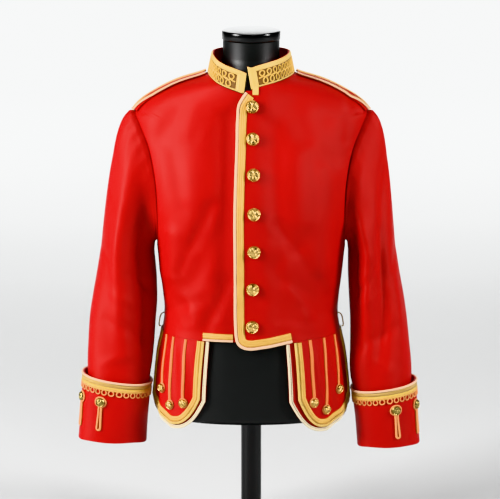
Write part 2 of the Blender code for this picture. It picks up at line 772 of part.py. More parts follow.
def flap_top(side, turn):
    if side == "left" and turn < QUARTER:
        return float(hem_height(body_skin(turn, WAIST)[0])) - FLAP_HANG
    return (UNDER_HEM if turn < QUARTER else WAIST) - FLAP_HANG


def flap_low(shape, turn):
    inner, outer, tip, tip_height, corner_height, inner_height = shape
    degrees = math.degrees(turn)
    if (degrees - tip) * (outer - tip) > 0:
        return tip_height + (corner_height - tip_height) * (degrees - tip) / (outer - tip)
    near = (degrees - inner) / (tip - inner)
    return tip_height + (inner_height - tip_height) * (1 - near) ** FLAP_ROUND


def flap_grid(name):
    shape = FLAPS[name]
    side = name.split("_")[0]
    inner, outer, tip = (math.radians(degrees) for degrees in shape[:3])
    turns = [inner + (tip - inner) * part for part in (0.0, 0.1, 0.25, 0.5, 0.75, 1.0)]
    turns += [tip + (outer - tip) * part for part in (0.33, 0.67, 1.0)]
    grid = np.zeros((len(turns), FLAP_ROWS + 1, 2))
    for i, turn in enumerate(turns):
        top, low = flap_top(side, turn), flap_low(shape, turn)
        for j in range(FLAP_ROWS + 1):
            grid[i, j] = (turn, top + (low - top) * j / FLAP_ROWS)
    return side, grid


def make_flap(name):
    side, grid = flap_grid(name)
    sign = 1.0 if side == "left" else -1.0
    deeper = UNDER_DEEPER if name.endswith("under") else 0.0
    turn, height = sign * grid[..., 0], grid[..., 1]
    outer = body_point(turn, height, -deeper)
    inner = body_point(turn, height, -deeper - WALL)
    wall(f"flap_{name}", outer, inner, False, "red_wool")

    def point_of(across, height, out):
        return body_point(sign * across / FLAP_SCALE, height, out - deeper)

    edge = [(grid[0, j, 0], grid[0, j, 1]) for j in range(FLAP_ROWS)]
    low = [(turn, height) for turn, height in grid[:, -1]]
    path = edge + low
    if deeper == 0.0:
        path += [(grid[-1, j, 0], grid[-1, j, 1]) for j in range(FLAP_ROWS - 1, -1, -1)]
    path = np.array(path) * [FLAP_SCALE, 1.0]
    width = FLAP_TRIM if deeper == 0.0 else UNDER_TRIM
    if name.endswith("back"):
        path = path[::-1]
    strip(f"flap_braid_{name}", path, width, point_of)


def make_bar(side, number, row):
    """A braid bar on an upper flap, with the button that ends it."""
    at_top, at_button, height = row
    sign = 1.0 if side == "left" else -1.0
    inner, outer = FLAPS[f"{side}_upper"][:2]
    name = f"flap_bar_{side}_{number}"
    path = []
    for t in np.linspace(0.0, 1.0, 5):
        across = at_top + (at_button - at_top) * t
        turn = math.radians(inner + across * (outer - inner))
        top = flap_top(side, turn) - 0.001
        path.append((turn * FLAP_SCALE - BAR_WIDTH / 2, top + (height - top) * t))
    path = np.array(path)

    def point_of(across, height, out):
        return body_point(sign * across / FLAP_SCALE, height, out)

    bar = strip(name, path, BAR_WIDTH, point_of, "peach_braid")
    turn = sign * math.radians(inner + at_button * (outer - inner))
    button = bpy.data.objects.new(f"{name}_cap", button_mesh(f"{name}_cap", SMALL_BUTTON))
    set_on(button, body_point(turn, height, BUTTON_LOW), body_normal(turn, height))
    fuse(bar, button)


def make_strap(side):
    sign = 1.0 if side == "left" else -1.0
    rows = [row for row in BODY if 0.868 <= row[0] <= 0.943]
    widths = [-row[1] for row in rows]
    heights = [row[0] for row in rows]
    grid = []
    for x in np.linspace(STRAP_NECK_X, STRAP_END_X, 9):
        height = float(np.interp(-x, widths, heights))
        _, front, back, power = smooth(BODY, height)
        t = (x - STRAP_NECK_X) / (STRAP_END_X - STRAP_NECK_X)
        half = STRAP_NECK_HALF + (STRAP_END_HALF - STRAP_NECK_HALF) * t
        row = []
        for y in np.linspace(-half, half, 5):
            depth = front if y < 0 else back
            lean = math.asin((abs(y) / depth) ** (power / 2))
            row.append((QUARTER + math.copysign(lean, y), height))
        grid.append(row)
    grid = np.array(grid)
    turn, height = sign * grid[..., 0], grid[..., 1]
    top = body_point(turn, height, STRAP_HIGH)
    under = body_point(turn, height, STRAP_LOW)
    wall(f"shoulder_strap_{side}", top, under, False, "red_wool")


def make_hook(side):
    """A bent wire hook on the waist seam that keeps a belt up."""
    sign = 1.0 if side == "left" else -1.0
    curve = bpy.data.curves.new(f"belt_hook_{side}", "CURVE")
    curve.dimensions = "3D"
    curve.bevel_depth = HOOK_WIRE
    curve.bevel_resolution = 1
    curve.use_fill_caps = True
    line = curve.splines.new("POLY")
    line.points.add(len(HOOK) - 1)
    for point, (off, height) in zip(line.points, HOOK):
        at = body_point(QUARTER * 0.96, height, off + HOOK_WIRE)
        point.co = (sign * at[0], at[1], at[2], 1.0)
    obj = bpy.data.objects.new(f"belt_hook_{side}", curve)
    curve.materials.append(material("brass"))
    parts.objects.link(obj)
    obj.parent = stand


def make_form():
    angle = 2 * math.pi * np.arange(FORM_SIDES) / FORM_SIDES
    rings = []
    for height in FORM_HEIGHTS:
        ridge = ease((height - 0.860) / 0.03) * np.abs(np.sin(angle)) ** 16
        gap = FORM_GAP + (FORM_SEAT - FORM_GAP) * ridge
        if height < FORM_HEIGHTS[1]:
            gap = gap + 0.006
        ring = body_skin(angle, height) - gap[:, None] * body_normal(angle, height)
        if height < FORM_HEIGHTS[2]:
            ring[:, 2] = height
        rings.append(ring)
    for row in FORM_NECK:
        rings.append(ring_point(angle, row[0], FORM_NECK))
    mesh = bmesh.new()
    verts = [[mesh.verts.new(point) for point in ring] for ring in rings]
    for low, high in zip(verts, verts[1:]):
        for i in range(FORM_SIDES):
            k = (i + 1) % FORM_SIDES
            mesh.faces.new((low[i], low[k], high[k], high[i]))
    mesh.faces.new(verts[0][::-1])
    mesh.faces.new(verts[-1])
    finish("form_torso", mesh, "black_form")
    edge = 0.003
    profile = (
        (0.0, CAP_TOP),
        (CAP_RADIUS - edge, CAP_TOP),
        (CAP_RADIUS, CAP_TOP - edge),
        (CAP_RADIUS, CAP_BOTTOM + edge / 2),
        (CAP_RADIUS - edge / 2, CAP_BOTTOM),
        (0.0, CAP_BOTTOM),
    )
    cap = place("form_cap", turned_mesh("form_cap", profile, 32), "black_gloss")
    cap.location.y = NECK_Y
    pole = ((0.0, POLE_TOP), (POLE_RADIUS, POLE_TOP), (POLE_RADIUS, POLE_BOTTOM), (0.0, POLE_BOTTOM))
    place("form_pole", turned_mesh("form_pole", pole, 24), "black_gloss")
    profile = (
        (0.0, BASE_HEIGHT),
        (BASE_RADIUS - edge, BASE_HEIGHT),
        (BASE_RADIUS, BASE_HEIGHT - edge),
        (BASE_RADIUS, 0.0),
        (0.0, 0.0),
    )
    place("form_base", turned_mesh("form_base", profile, 40), "black_gloss")


clear_scene()
stand = bpy.data.objects.new("stand_frame", None)
bpy.context.scene.collection.objects.link(stand)
parts = bpy.data.collections.new("pipe_band_doublet")
cutters = bpy.data.collections.new("cutters")
bpy.context.scene.collection.children.link(parts)
bpy.context.scene.collection.children.link(cutters)

make_form()
make_fronts()
make_back()
make_collar()
make_front_trims()
make_front_buttons()
for arm in ("right", "left"):
    make_sleeve(arm)
    make_cuff(arm)
    make_strap(arm)
    make_hook(arm)
    for order, bar_row in enumerate(BARS[arm]):
        make_bar(arm, order + 1, bar_row)
for flap in FLAPS:
    make_flap(flap)
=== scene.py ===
"""The looks of the pipe band doublet on its dress form."""

import math

import bmesh
import bpy
import numpy as np
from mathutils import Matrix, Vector


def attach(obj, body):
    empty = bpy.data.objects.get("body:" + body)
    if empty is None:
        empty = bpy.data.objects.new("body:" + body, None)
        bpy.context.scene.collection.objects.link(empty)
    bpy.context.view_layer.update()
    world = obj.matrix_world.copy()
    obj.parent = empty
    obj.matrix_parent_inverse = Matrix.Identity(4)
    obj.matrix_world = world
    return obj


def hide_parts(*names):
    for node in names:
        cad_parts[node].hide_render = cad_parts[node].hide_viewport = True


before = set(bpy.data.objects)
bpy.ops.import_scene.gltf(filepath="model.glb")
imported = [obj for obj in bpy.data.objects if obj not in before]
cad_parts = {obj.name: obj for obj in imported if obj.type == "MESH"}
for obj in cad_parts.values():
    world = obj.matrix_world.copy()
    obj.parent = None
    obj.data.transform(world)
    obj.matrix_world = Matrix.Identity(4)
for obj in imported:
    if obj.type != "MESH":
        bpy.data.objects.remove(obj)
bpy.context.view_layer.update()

QUARTER = math.pi / 2
WALL = 0.002
SEAM_TURN = 0.0025
WAIST = 0.438
SIGN = {"left": 1.0, "right": -1.0}

# The cloth's outer surface: height, half width, depth in front, depth behind, roundness.
BODY = (
    (0.240, 0.1945, 0.1280, 0.1180, 2.30),
    (0.300, 0.1925, 0.1280, 0.1160, 2.30),
    (0.350, 0.1885, 0.1265, 0.1120, 2.30),
    (0.400, 0.1815, 0.1235, 0.1040, 2.30),
    (0.438, 0.1740, 0.1197, 0.0980, 2.30),
    (0.468, 0.1700, 0.1188, 0.0965, 2.30),
    (0.500, 0.1715, 0.1194, 0.0980, 2.30),
    (0.550, 0.1770, 0.1230, 0.1040, 2.30),
    (0.613, 0.1840, 0.1280, 0.1120, 2.35),
    (0.690, 0.2000, 0.1300, 0.1190, 2.35),
    (0.760, 0.2105, 0.1250, 0.1210, 2.30),
    (0.810, 0.2175, 0.1150, 0.1180, 2.20),
    (0.845, 0.2240, 0.1070, 0.1130, 2.10),
    (0.868, 0.2245, 0.1020, 0.1080, 2.00),
    (0.886, 0.2090, 0.0990, 0.1030, 2.00),
    (0.908, 0.1750, 0.0945, 0.0930, 2.00),
    (0.925, 0.1370, 0.0895, 0.0830, 2.00),
    (0.938, 0.0945, 0.0840, 0.0745, 2.00),
    (0.943, 0.0815, 0.0815, 0.0705, 2.00),
    (0.950, 0.0660, 0.0790, 0.0660, 2.00),
)

# Neckline heights at centre front under and over the lap, at the side and behind.
NECK_UNDER = 0.906
NECK_OVER = 0.921
NECK_SIDE = 0.943
NECK_BACK = 0.945
NECK_ROUND = 0.6

# The armhole is an oval on the body, about the side.
ARMHOLE_MIDDLE = 0.7415
ARMHOLE_HALF_HEIGHT = 0.1285
ARMHOLE_HALF_TURN = math.radians(29)

# The lapped front edge: height, x. The lapped front's hem: x, height.
LAP_EDGE = (
    (0.422, -0.0328),
    (0.455, -0.0328),
    (0.600, -0.0330),
    (0.672, -0.0335),
    (0.823, -0.0293),
    (0.873, -0.0276),
    (0.899, -0.0241),
    (0.909, -0.0180),
    (0.921, -0.0095),
)
HEM = (
    (-0.0328, 0.4540),
    (-0.0310, 0.4420),
    (-0.0250, 0.4310),
    (-0.0150, 0.4240),
    (0.0000, 0.4220),
    (0.0400, 0.4275),
    (0.0790, 0.4345),
    (0.1100, 0.4380),
    (0.2000, 0.4380),
)
UNDER_HEM = 0.4375
UNDERLAP_X = 0.012
LAP_RISE = 0.0040
LAP_ENDS = 0.060
LAP_EASES_OVER = 0.035

# Folds, end to end: x, height, x, height, half width, depth.
FRONT_FOLDS = (
    (-0.142, 0.885, -0.172, 0.826, 0.018, 0.0040),
    (-0.078, 0.634, -0.134, 0.510, 0.020, 0.0055),
    (0.079, 0.895, 0.102, 0.832, 0.018, 0.0030),
    (0.135, 0.862, 0.162, 0.788, 0.018, 0.0040),
    (0.051, 0.583, 0.140, 0.497, 0.020, 0.0055),
)
BACK_FOLDS = (
    (-0.060, 0.850, -0.110, 0.780, 0.016, 0.0040),
    (0.060, 0.850, 0.110, 0.780, 0.016, 0.0040),
    (-0.050, 0.560, -0.120, 0.500, 0.016, 0.0045),
    (0.050, 0.560, 0.120, 0.500, 0.016, 0.0045),
)

# Columns of a front, or of half the back: where each starts on the hem, 0 to 1.
LAP_STARTS = (0.0, 0.012, 0.035, 0.08, 0.16)
NECK_STARTS = (0.0, 0.08, 0.16)
SHOULDER_STARTS = (0.24, 0.30, 0.36, 0.41, 0.46)
ARM_START = 0.51
AROUND = 20
ROWS = 15
RIDGE_BEND = 1.4

# Sleeve rings: height, outer edge, inner edge, middle y, half depth.
SLEEVES = {
    "right": (
        (0.335, 0.3195, 0.2015, -0.0275, 0.0480),
        (0.358, 0.3205, 0.1975, -0.0220, 0.0520),
        (0.413, 0.3185, 0.1900, -0.0170, 0.0560),
        (0.463, 0.3148, 0.1860, -0.0120, 0.0600),
        (0.500, 0.3090, 0.1830, -0.0080, 0.0640),
        (0.543, 0.3013, 0.1835, -0.0050, 0.0680),
        (0.598, 0.2920, 0.1880, -0.0020, 0.0730),
    ),
    "left": (
        (0.320, 0.3130, 0.2025, -0.0275, 0.0480),
        (0.345, 0.3145, 0.1960, -0.0220, 0.0520),
        (0.413, 0.3090, 0.1935, -0.0170, 0.0560),
        (0.463, 0.3035, 0.1930, -0.0120, 0.0600),
        (0.500, 0.2980, 0.1910, -0.0080, 0.0640),
        (0.543, 0.2900, 0.1885, -0.0050, 0.0680),
        (0.598, 0.2810, 0.1880, -0.0020, 0.0730),
    ),
}
SLEEVE_TOP = 0.598
SLEEVE_TILT = 0.11
SLEEVE_ROUND = 2.2
CAP_OUT = 0.48
CAP_DOWN = -0.06
CAP_BULGE = 0.004
ARMHOLE_INSET = 0.0009
SEAM_SINK, SEAM_ROLL, SEAM_PUCKER, SEAM_DEPTH = 0.0008, 0.0022, 0.0009, 0.0012
CENTRE_SEAM, CENTRE_SEAM_WIDE = 0.0010, 0.0022

# Long soft folds of a sleeve: place round it in degrees, low, high, half angle, depth.
SLEEVE_FOLDS = (
    (150.0, 0.36, 0.72, 24.0, 0.0050),
    (60.0, 0.34, 0.60, 26.0, 0.0035),
    (290.0, 0.36, 0.70, 26.0, 0.0045),
)

# Cuffs: height at the top and hem, outer and inner edge at the top, then at the hem.
CUFFS = {
    "right": (0.3470, 0.2225, 0.3285, 0.1960, 0.3400, 0.2060),
    "left": (0.3320, 0.2135, 0.3225, 0.1975, 0.3320, 0.2090),
}
# The cuffs' half depth, middle y and tilt, each at the top and then at the hem.
CUFF_DEPTH = (0.0570, 0.0460)
CUFF_Y = (-0.0260, -0.0340)
CUFF_TILT = (0.150, 0.070)
CUFF_WALL = 0.0025
CUFF_SEAT = 0.0006
SLEEVE_ENDS_AT = 0.45
CUFF_BUTTONS = {"right": (68.0, 20.0), "left": (75.0, 24.0)}
CUFF_BUTTON_DOWN = 0.044
LOOP_LENGTH = 0.056
CUFF_SCALE = 0.058

COLLAR_RISE = 0.0400
COLLAR_LEAN = 0.0080
COLLAR_WALL = 0.003
COLLAR_LIFT = 0.0015
COLLAR_ROUND = 0.080
COLLAR_FRONTS = ((-0.0155, -0.0098), (0.0003, -0.0083))

BUTTON_HEIGHTS = (0.892, 0.832, 0.766, 0.692, 0.6185, 0.544, 0.469)
BUTTON_X = (0.0019, 0.0028, 0.0045, 0.0053, 0.0053, 0.0029, 0.0019)
BUTTON = (0.0125, 0.0058)
BUTTON_LOW = 0.0007
TOP_BUTTON_LOW = 0.0027

FRONT_TRIM = 0.0190
RIGHT_HEM_TRIM = 0.0150
FLAP_TRIM = 0.0150
UNDER_TRIM = 0.0065

# Flaps, in degrees from centre front: inner edge, outer edge, tip. Heights of the tip,
# of the outer corner, and where the inner edge starts to round.
FLAPS = {
    "right_upper": (28.0, 86.0, 52.0, 0.266, 0.306, 0.322),
    "right_under": (24.5, 86.0, 52.0, 0.257, 0.297, 0.318),
    "left_upper": (25.0, 87.5, 47.0, 0.262, 0.302, 0.322),
    "left_under": (19.5, 87.5, 47.0, 0.253, 0.293, 0.318),
    "left_back": (175.5, 94.0, 133.0, 0.264, 0.304, 0.320),
    "right_back": (175.5, 94.0, 133.0, 0.264, 0.304, 0.320),
}
FLAP_SCALE = 0.163
FLAP_HANG = 0.0004
FLAP_ROUND = 3.0
UNDER_DEEPER = 0.0028
FLAP_WAVE = 0.0012

# Braid bars: place across the flap at the top and at the button, button's height.
BARS = {
    "right": ((0.267, 0.216, 0.311), (0.500, 0.424, 0.303), (0.690, 0.600, 0.332)),
    "left": ((0.200, 0.185, 0.313), (0.416, 0.346, 0.296), (0.656, 0.573, 0.331)),
}

STRAP_NECK_X, STRAP_END_X = 0.0885, 0.2225
STRAP_NECK_HALF, STRAP_END_HALF = 0.018, 0.024

# The form's neck: height, half width, front, back, roundness.
FORM_NECK = (
    (0.943, 0.0700, 0.0720, 0.0640, 2.0),
    (0.952, 0.0610, 0.0640, 0.0580, 2.0),
    (0.968, 0.0555, 0.0592, 0.0515, 2.0),
    (1.0065, 0.0545, 0.0585, 0.0505, 2.0),
)
FORM_HEIGHTS = (
    (0.270, 0.276, 0.300, 0.350, 0.400, 0.438, 0.468, 0.500, 0.550, 0.613, 0.690, 0.760)
    + (0.810, 0.845, 0.868, 0.886, 0.908, 0.925, 0.936)
)
FORM_GAP = 0.0096
FORM_SEAT = 0.0054
NECK_Y = -0.004
CAP_RADIUS, CAP_BOTTOM, CAP_TOP = 0.0565, 1.0069, 1.0250
POLE_RADIUS, POLE_BOTTOM, POLE_TOP = 0.0200, 0.0144, 0.2696
BASE_RADIUS, BASE_HEIGHT = 0.150, 0.014
CAP_BEND, BASE_BEND, AXIS_FLAT = 0.0035, 0.004, 0.001

HOOK_WIRE = 0.0012
HOOK = ((-0.0008, 0.470), (0.0065, 0.466), (0.0072, 0.447), (0.0055, 0.4405), (0.003, 0.4425))

# Finer creases of the cloth, end to end: x, height, x, height, half width, depth.
FRONT_CREASES = (
    (-0.089, 0.882, -0.106, 0.832, 0.011, 0.0022),
    (-0.105, 0.650, -0.138, 0.568, 0.010, 0.0026),
    (0.188, 0.893, 0.183, 0.822, 0.009, 0.0022),
    (-0.012, 0.603, 0.021, 0.520, 0.014, 0.0018),
    (0.060, 0.560, 0.118, 0.525, 0.008, 0.0014),
    (0.095, 0.505, 0.160, 0.478, 0.009, 0.0020),
    (-0.090, 0.520, -0.160, 0.487, 0.010, 0.0022),
    (-0.060, 0.475, -0.130, 0.462, 0.008, -0.0012),
    (0.045, 0.470, 0.120, 0.458, 0.008, -0.0012),
    (-0.150, 0.800, -0.130, 0.700, 0.016, 0.0020),
    (0.150, 0.790, 0.125, 0.690, 0.016, 0.0018),
    (-0.060, 0.780, -0.075, 0.690, 0.020, -0.0016),
    (0.075, 0.770, 0.085, 0.680, 0.022, -0.0016),
    (0.020, 0.868, 0.050, 0.848, 0.008, 0.0012),
    (0.016, 0.800, 0.040, 0.780, 0.007, 0.0009),
    (0.018, 0.655, 0.048, 0.640, 0.008, 0.0010),
    (-0.048, 0.870, -0.054, 0.560, 0.018, 0.0060),
    (-0.100, 0.860, -0.108, 0.720, 0.026, -0.0050),
    (0.036, 0.850, 0.044, 0.700, 0.020, 0.0052),
    (0.090, 0.800, 0.104, 0.680, 0.022, -0.0056),
    (0.142, 0.770, 0.134, 0.580, 0.020, -0.0062),
    (-0.078, 0.705, -0.108, 0.628, 0.013, 0.0060),
    (-0.150, 0.640, -0.156, 0.560, 0.018, -0.0056),
    (-0.128, 0.520, -0.105, 0.480, 0.018, -0.0044),
    (-0.042, 0.560, -0.086, 0.468, 0.014, 0.0044),
    (0.052, 0.668, 0.088, 0.618, 0.013, 0.0062),
    (0.088, 0.618, 0.144, 0.520, 0.014, 0.0050),
    (0.062, 0.580, 0.110, 0.490, 0.016, -0.0052),
)
BACK_CREASES = (
    (-0.040, 0.900, -0.045, 0.820, 0.012, 0.0020),
    (0.030, 0.895, 0.052, 0.825, 0.012, 0.0018),
    (-0.130, 0.800, -0.120, 0.690, 0.015, 0.0022),
    (0.135, 0.790, 0.118, 0.700, 0.015, 0.0020),
    (-0.020, 0.620, -0.070, 0.530, 0.012, 0.0018),
    (0.025, 0.600, 0.060, 0.520, 0.012, 0.0020),
    (-0.120, 0.480, -0.040, 0.465, 0.009, -0.0014),
    (0.130, 0.485, 0.050, 0.462, 0.009, -0.0014),
)
# Sleeve creases: place round it in degrees, height, then the same of the other end, width, depth.
SLEEVE_CREASES = {
    "right": (
        (56.0, 0.800, 66.0, 0.690, 0.015, -0.0060),
        (66.0, 0.690, 74.0, 0.560, 0.015, -0.0075),
        (74.0, 0.560, 96.0, 0.400, 0.016, -0.0060),
        (112.0, 0.800, 120.0, 0.660, 0.024, 0.0110),
        (120.0, 0.660, 130.0, 0.500, 0.025, 0.0130),
        (130.0, 0.500, 140.0, 0.370, 0.020, 0.0080),
        (60.0, 0.800, 120.0, 0.660, 0.012, 0.0028),
        (95.0, 0.830, 130.0, 0.740, 0.009, 0.0020),
        (100.0, 0.560, 165.0, 0.515, 0.010, 0.0034),
        (70.0, 0.520, 120.0, 0.495, 0.009, -0.0018),
        (60.0, 0.470, 150.0, 0.425, 0.011, 0.0024),
        (250.0, 0.560, 200.0, 0.520, 0.011, 0.0030),
        (300.0, 0.500, 230.0, 0.470, 0.010, 0.0026),
        (20.0, 0.620, 60.0, 0.560, 0.012, 0.0020),
        (330.0, 0.430, 280.0, 0.400, 0.010, 0.0020),
        (100.0, 0.400, 60.0, 0.380, 0.010, -0.0016),
    ),
    "left": (
        (66.0, 0.790, 104.0, 0.690, 0.013, -0.0070),
        (104.0, 0.690, 99.0, 0.595, 0.014, -0.0090),
        (99.0, 0.595, 116.0, 0.460, 0.014, -0.0080),
        (30.0, 0.765, 62.0, 0.640, 0.015, 0.0090),
        (62.0, 0.640, 78.0, 0.520, 0.016, 0.0120),
        (78.0, 0.520, 94.0, 0.380, 0.014, 0.0100),
        (146.0, 0.700, 150.0, 0.420, 0.019, 0.0080),
        (40.0, 0.560, 50.0, 0.400, 0.014, -0.0040),
        (55.0, 0.790, 118.0, 0.650, 0.012, 0.0028),
        (92.0, 0.825, 128.0, 0.735, 0.009, 0.0020),
        (95.0, 0.550, 160.0, 0.505, 0.010, 0.0034),
        (65.0, 0.535, 110.0, 0.500, 0.009, -0.0018),
        (50.0, 0.455, 140.0, 0.410, 0.011, 0.0026),
        (245.0, 0.570, 200.0, 0.530, 0.011, 0.0030),
        (300.0, 0.505, 235.0, 0.475, 0.010, 0.0024),
        (15.0, 0.610, 55.0, 0.550, 0.012, 0.0022),
        (325.0, 0.425, 285.0, 0.395, 0.010, 0.0020),
        (105.0, 0.385, 70.0, 0.365, 0.010, -0.0016),
    ),
}
CUFF_DENTS = ((70.0, 0.55, 22.0, 0.0016), (160.0, 0.7, 26.0, 0.0020), (300.0, 0.6, 30.0, 0.0018))
FINER = 5
DEEPEST = 0.0078
DEGREE_WIDE = 0.0011
SLEEVE_AROUND = 96
CAP_FINE, TUBE_FINE = 30, 64
LOOP_PITCH, LOOP_WIDE, LOOP_CORD = 0.0112, 0.74, 0.00135

# Piping widths, the share of the width at which piping lies, and heights of piping and braid.
PIPING, FRONT_PIPING, FLAP_PIPING, UNDER_PIPING = 0.0042, 0.0056, 0.0052, 0.0044
PIPING_AT, PIPING_HIGH, BRAID_HIGH, TRIM_GAP = 0.46, 0.0017, 0.0020, 0.0003
CUFF_PIPING_AT, CUFF_TOP_BRAID_AT, CUFF_LOW_BRAID_AT = 0.0016, 0.0036, 0.0118
CUFF_BRAID, CUFF_TOP_HIGH, CUFF_LOW_HIGH = 0.0078, 0.0019, 0.0022
PICOTS, PICOT_FROM, PICOT_TO, PICOT_WIDE, PICOT_CORD = 32, 0.0160, 0.0285, 0.80, 0.0013
COLLAR_BRAID, COLLAR_BRAID_LOW, COLLAR_LACE_FROM = 0.0092, 0.0015, 0.0106
BAR_WIDTH, STRAP_BRAID, STRAP_HALF, STRAP_SEAT, STRAP_FACE = 0.0068, 0.0075, 0.0210, 0.0012, 0.0034
# Ringed buttons: radius, rise, radius of the ring, radius of its cord.
CUFF_BUTTON = (0.0090, 0.0054, 0.0094, 0.0018)
FLAP_BUTTON = (0.0082, 0.0050, 0.0088, 0.0015)
BUTTON_SEAT = 0.0012
LOOP_HALF, LOOP_THREAD = 0.0027, 0.0022



def smooth(table, at):
    """The table's columns where its first one is at, on a smooth curve through the rows."""
    rows = np.array(table)
    key, values = rows[:, 0], rows[:, 1:]
    slopes = np.gradient(values, key, axis=0)
    at = np.clip(np.asarray(at, float), key[0], key[-1])
    row = np.clip(np.searchsorted(key, at) - 1, 0, len(key) - 2)
    step = (key[row + 1] - key[row])[..., None]
    t = (at - key[row])[..., None] / step
    start = (2 * t**3 - 3 * t**2 + 1) * values[row]
    start = start + (t**3 - 2 * t**2 + t) * step * slopes[row]
    end = (3 * t**2 - 2 * t**3) * values[row + 1]
    return start + end + (t**3 - t**2) * step * slopes[row + 1]


def ease(value):
    value = np.clip(value, 0.0, 1.0)
    return value * value * (3 - 2 * value)


def turns(count):
    """A whole turn in equal steps."""
    return 2 * math.pi * np.arange(count) / count


def unit(vectors):
    return vectors / np.linalg.norm(vectors, axis=-1, keepdims=True)


def angle_from(degrees, place):
    """Degrees from a place on a ring, between -180 and 180."""
    return (degrees - place + 180) % 360 - 180


def length_along(points):
    return np.concatenate([[0], np.cumsum(np.linalg.norm(np.diff(points, axis=0), axis=1))])


def ring_point(turn, height, table):
    """A point of a ring with round corners, whose sizes a table gives by height."""
    half_width, front, back, power = np.moveaxis(smooth(table, height), -1, 0)
    sine, cosine = np.sin(turn), np.cos(turn)
    depth = np.where(cosine > 0, front, back)
    x = half_width * np.sign(sine) * np.abs(sine) ** (2 / power)
    y = -depth * np.sign(cosine) * np.abs(cosine) ** (2 / power)
    return np.stack([x, y, np.broadcast_to(height, x.shape)], -1)


def body_skin(turn, height):
    return ring_point(np.asarray(turn, float), np.asarray(height, float), BODY)


def body_normal(turn, height):
    side, up = 0.01, 0.002
    across = body_skin(turn + side, height) - body_skin(turn - side, height)
    along = body_skin(turn, height + up) - body_skin(turn, height - up)
    return unit(np.cross(across, along))


def fold_depth(points, folds):
    """How far the troughs in a table pull each point of the cloth in."""
    total = np.zeros(points.shape[:-1])
    flat = points[..., [0, 2]]
    for x_from, z_from, x_to, z_to, half_width, depth in folds:
        start = np.array([x_from, z_from])
        run = np.array([x_to, z_to]) - start
        along = np.clip((flat - start) @ run / (run @ run), 0.0, 1.0)
        away = np.linalg.norm(flat - start - along[..., None] * run, axis=-1)
        total += depth * np.exp(-((away / half_width) ** 2))
    return total


def turn_at(x, height):
    """The turn, in front, at which the body is x from its middle."""
    half_width, _, _, power = np.moveaxis(smooth(BODY, height), -1, 0)
    share = np.clip(np.abs(x) / half_width, 0.0, 1.0)
    return np.sign(x) * np.arcsin(share ** (power / 2))


def lap_out(turn, height):
    """How far the upper front stands out where it laps over the other one."""
    x = body_skin(turn, height)[..., 0]
    return LAP_RISE * ease((LAP_ENDS - x) / LAP_EASES_OVER)


def lap_x(height):
    return smooth(LAP_EDGE, height)[..., 0]


def hem_height(x):
    return np.interp(x, [row[0] for row in HEM], [row[1] for row in HEM])


def inset(path, width):
    """The path moved to its left by width, mitred at its corners."""
    runs = unit(np.diff(path, axis=0))
    left = np.stack([-runs[:, 1], runs[:, 0]], -1)
    before = np.vstack([left[:1], left])
    after = np.vstack([left, left[-1:]])
    middle = unit(before + after)
    reach = np.clip((middle * after).sum(1, keepdims=True), 0.5, 1.0)
    return path + width * middle / reach


def arm_column(angle):
    """Where the column that ends at this place on the armhole starts on the hem."""
    waist = armhole_edge(ARMHOLE_MIDDLE)
    if angle < QUARTER:
        return ARM_START + (waist - ARM_START) * angle / QUARTER
    return armhole_edge(ARMHOLE_MIDDLE + ARMHOLE_HALF_HEIGHT * math.cos(angle))


def cuff_skin(side, angle, share):
    """A cuff's outer surface: angle 0 is the outside of the arm, a quarter is its front."""
    top, hem, outer_top, inner_top, outer_hem, inner_hem = CUFFS[side]
    ends = ((outer_top, outer_hem), (inner_top, inner_hem), CUFF_Y, CUFF_DEPTH, (top, hem), CUFF_TILT)
    outer, inner, y, depth, height, tilt = (first + (last - first) * share for first, last in ends)
    return oval(side, angle, (outer + inner) / 2, (outer - inner) / 2, y, depth, height, tilt)


def oval(side, angle, middle, half, y, depth, height, tilt):
    cosine, sine = np.cos(angle), np.sin(angle)
    across = half * np.sign(cosine) * np.abs(cosine) ** (2 / SLEEVE_ROUND)
    forward = depth * np.sign(sine) * np.abs(sine) ** (2 / SLEEVE_ROUND)
    sign = SIGN[side]
    return np.stack([sign * (middle + across), y - forward, height + tilt * across], -1)


def cuff_point(side, angle, share, out):
    angle, share = np.broadcast_arrays(np.asarray(angle, float), np.asarray(share, float))
    turn, down = 0.02, 0.02
    across = cuff_skin(side, angle + turn, share) - cuff_skin(side, angle - turn, share)
    along = cuff_skin(side, angle, share + down) - cuff_skin(side, angle, share - down)
    normal = unit(np.cross(across, along) * SIGN[side])
    return cuff_skin(side, angle, share) + np.asarray(out)[..., None] * normal


def body_point(turn, height, out=0.0):
    """A point of the doublet's body, moved out from the cloth's outer surface."""
    turn, height = np.broadcast_arrays(np.asarray(turn, float), np.asarray(height, float))
    point = body_skin(turn, height)
    front = np.where(np.cos(turn) > 0, 1.0, 0.0)
    above = ease((height - WAIST + 0.004) / 0.012)
    depth = front * fold_depth(point, FRONT_FOLDS + FRONT_CREASES)
    depth = above * (depth + (1 - front) * fold_depth(point, BACK_FOLDS + BACK_CREASES))
    depth = DEEPEST * np.tanh(depth / DEEPEST)
    below = ease((WAIST - height) / 0.05)
    wave = 0.0010 * np.sin(turn * 17 + 1.3) + 0.0007 * np.sin(turn * 29 + height * 30)
    depth = depth - below * wave
    return point + (np.asarray(out) - depth)[..., None] * body_normal(turn, height)


def quads(rows, columns, wrap=False):
    j = np.arange(rows - 1)[:, None]
    i = np.arange(columns if wrap else columns - 1)[None]
    k = (i + 1) % columns
    first, second = j * columns + i, j * columns + k
    return np.stack([first, second, second + columns, first + columns], -1).reshape(-1, 4)


def placed(name, data, at=(0.0, 0.0, 0.0), target=None):
    """An object in the scene, turned to face its target."""
    obj = bpy.data.objects.new(name, data)
    obj.location = at
    if target:
        obj.rotation_euler = (Vector(target) - Vector(at)).to_track_quat("-Z", "Y").to_euler()
    bpy.context.scene.collection.objects.link(obj)
    return obj


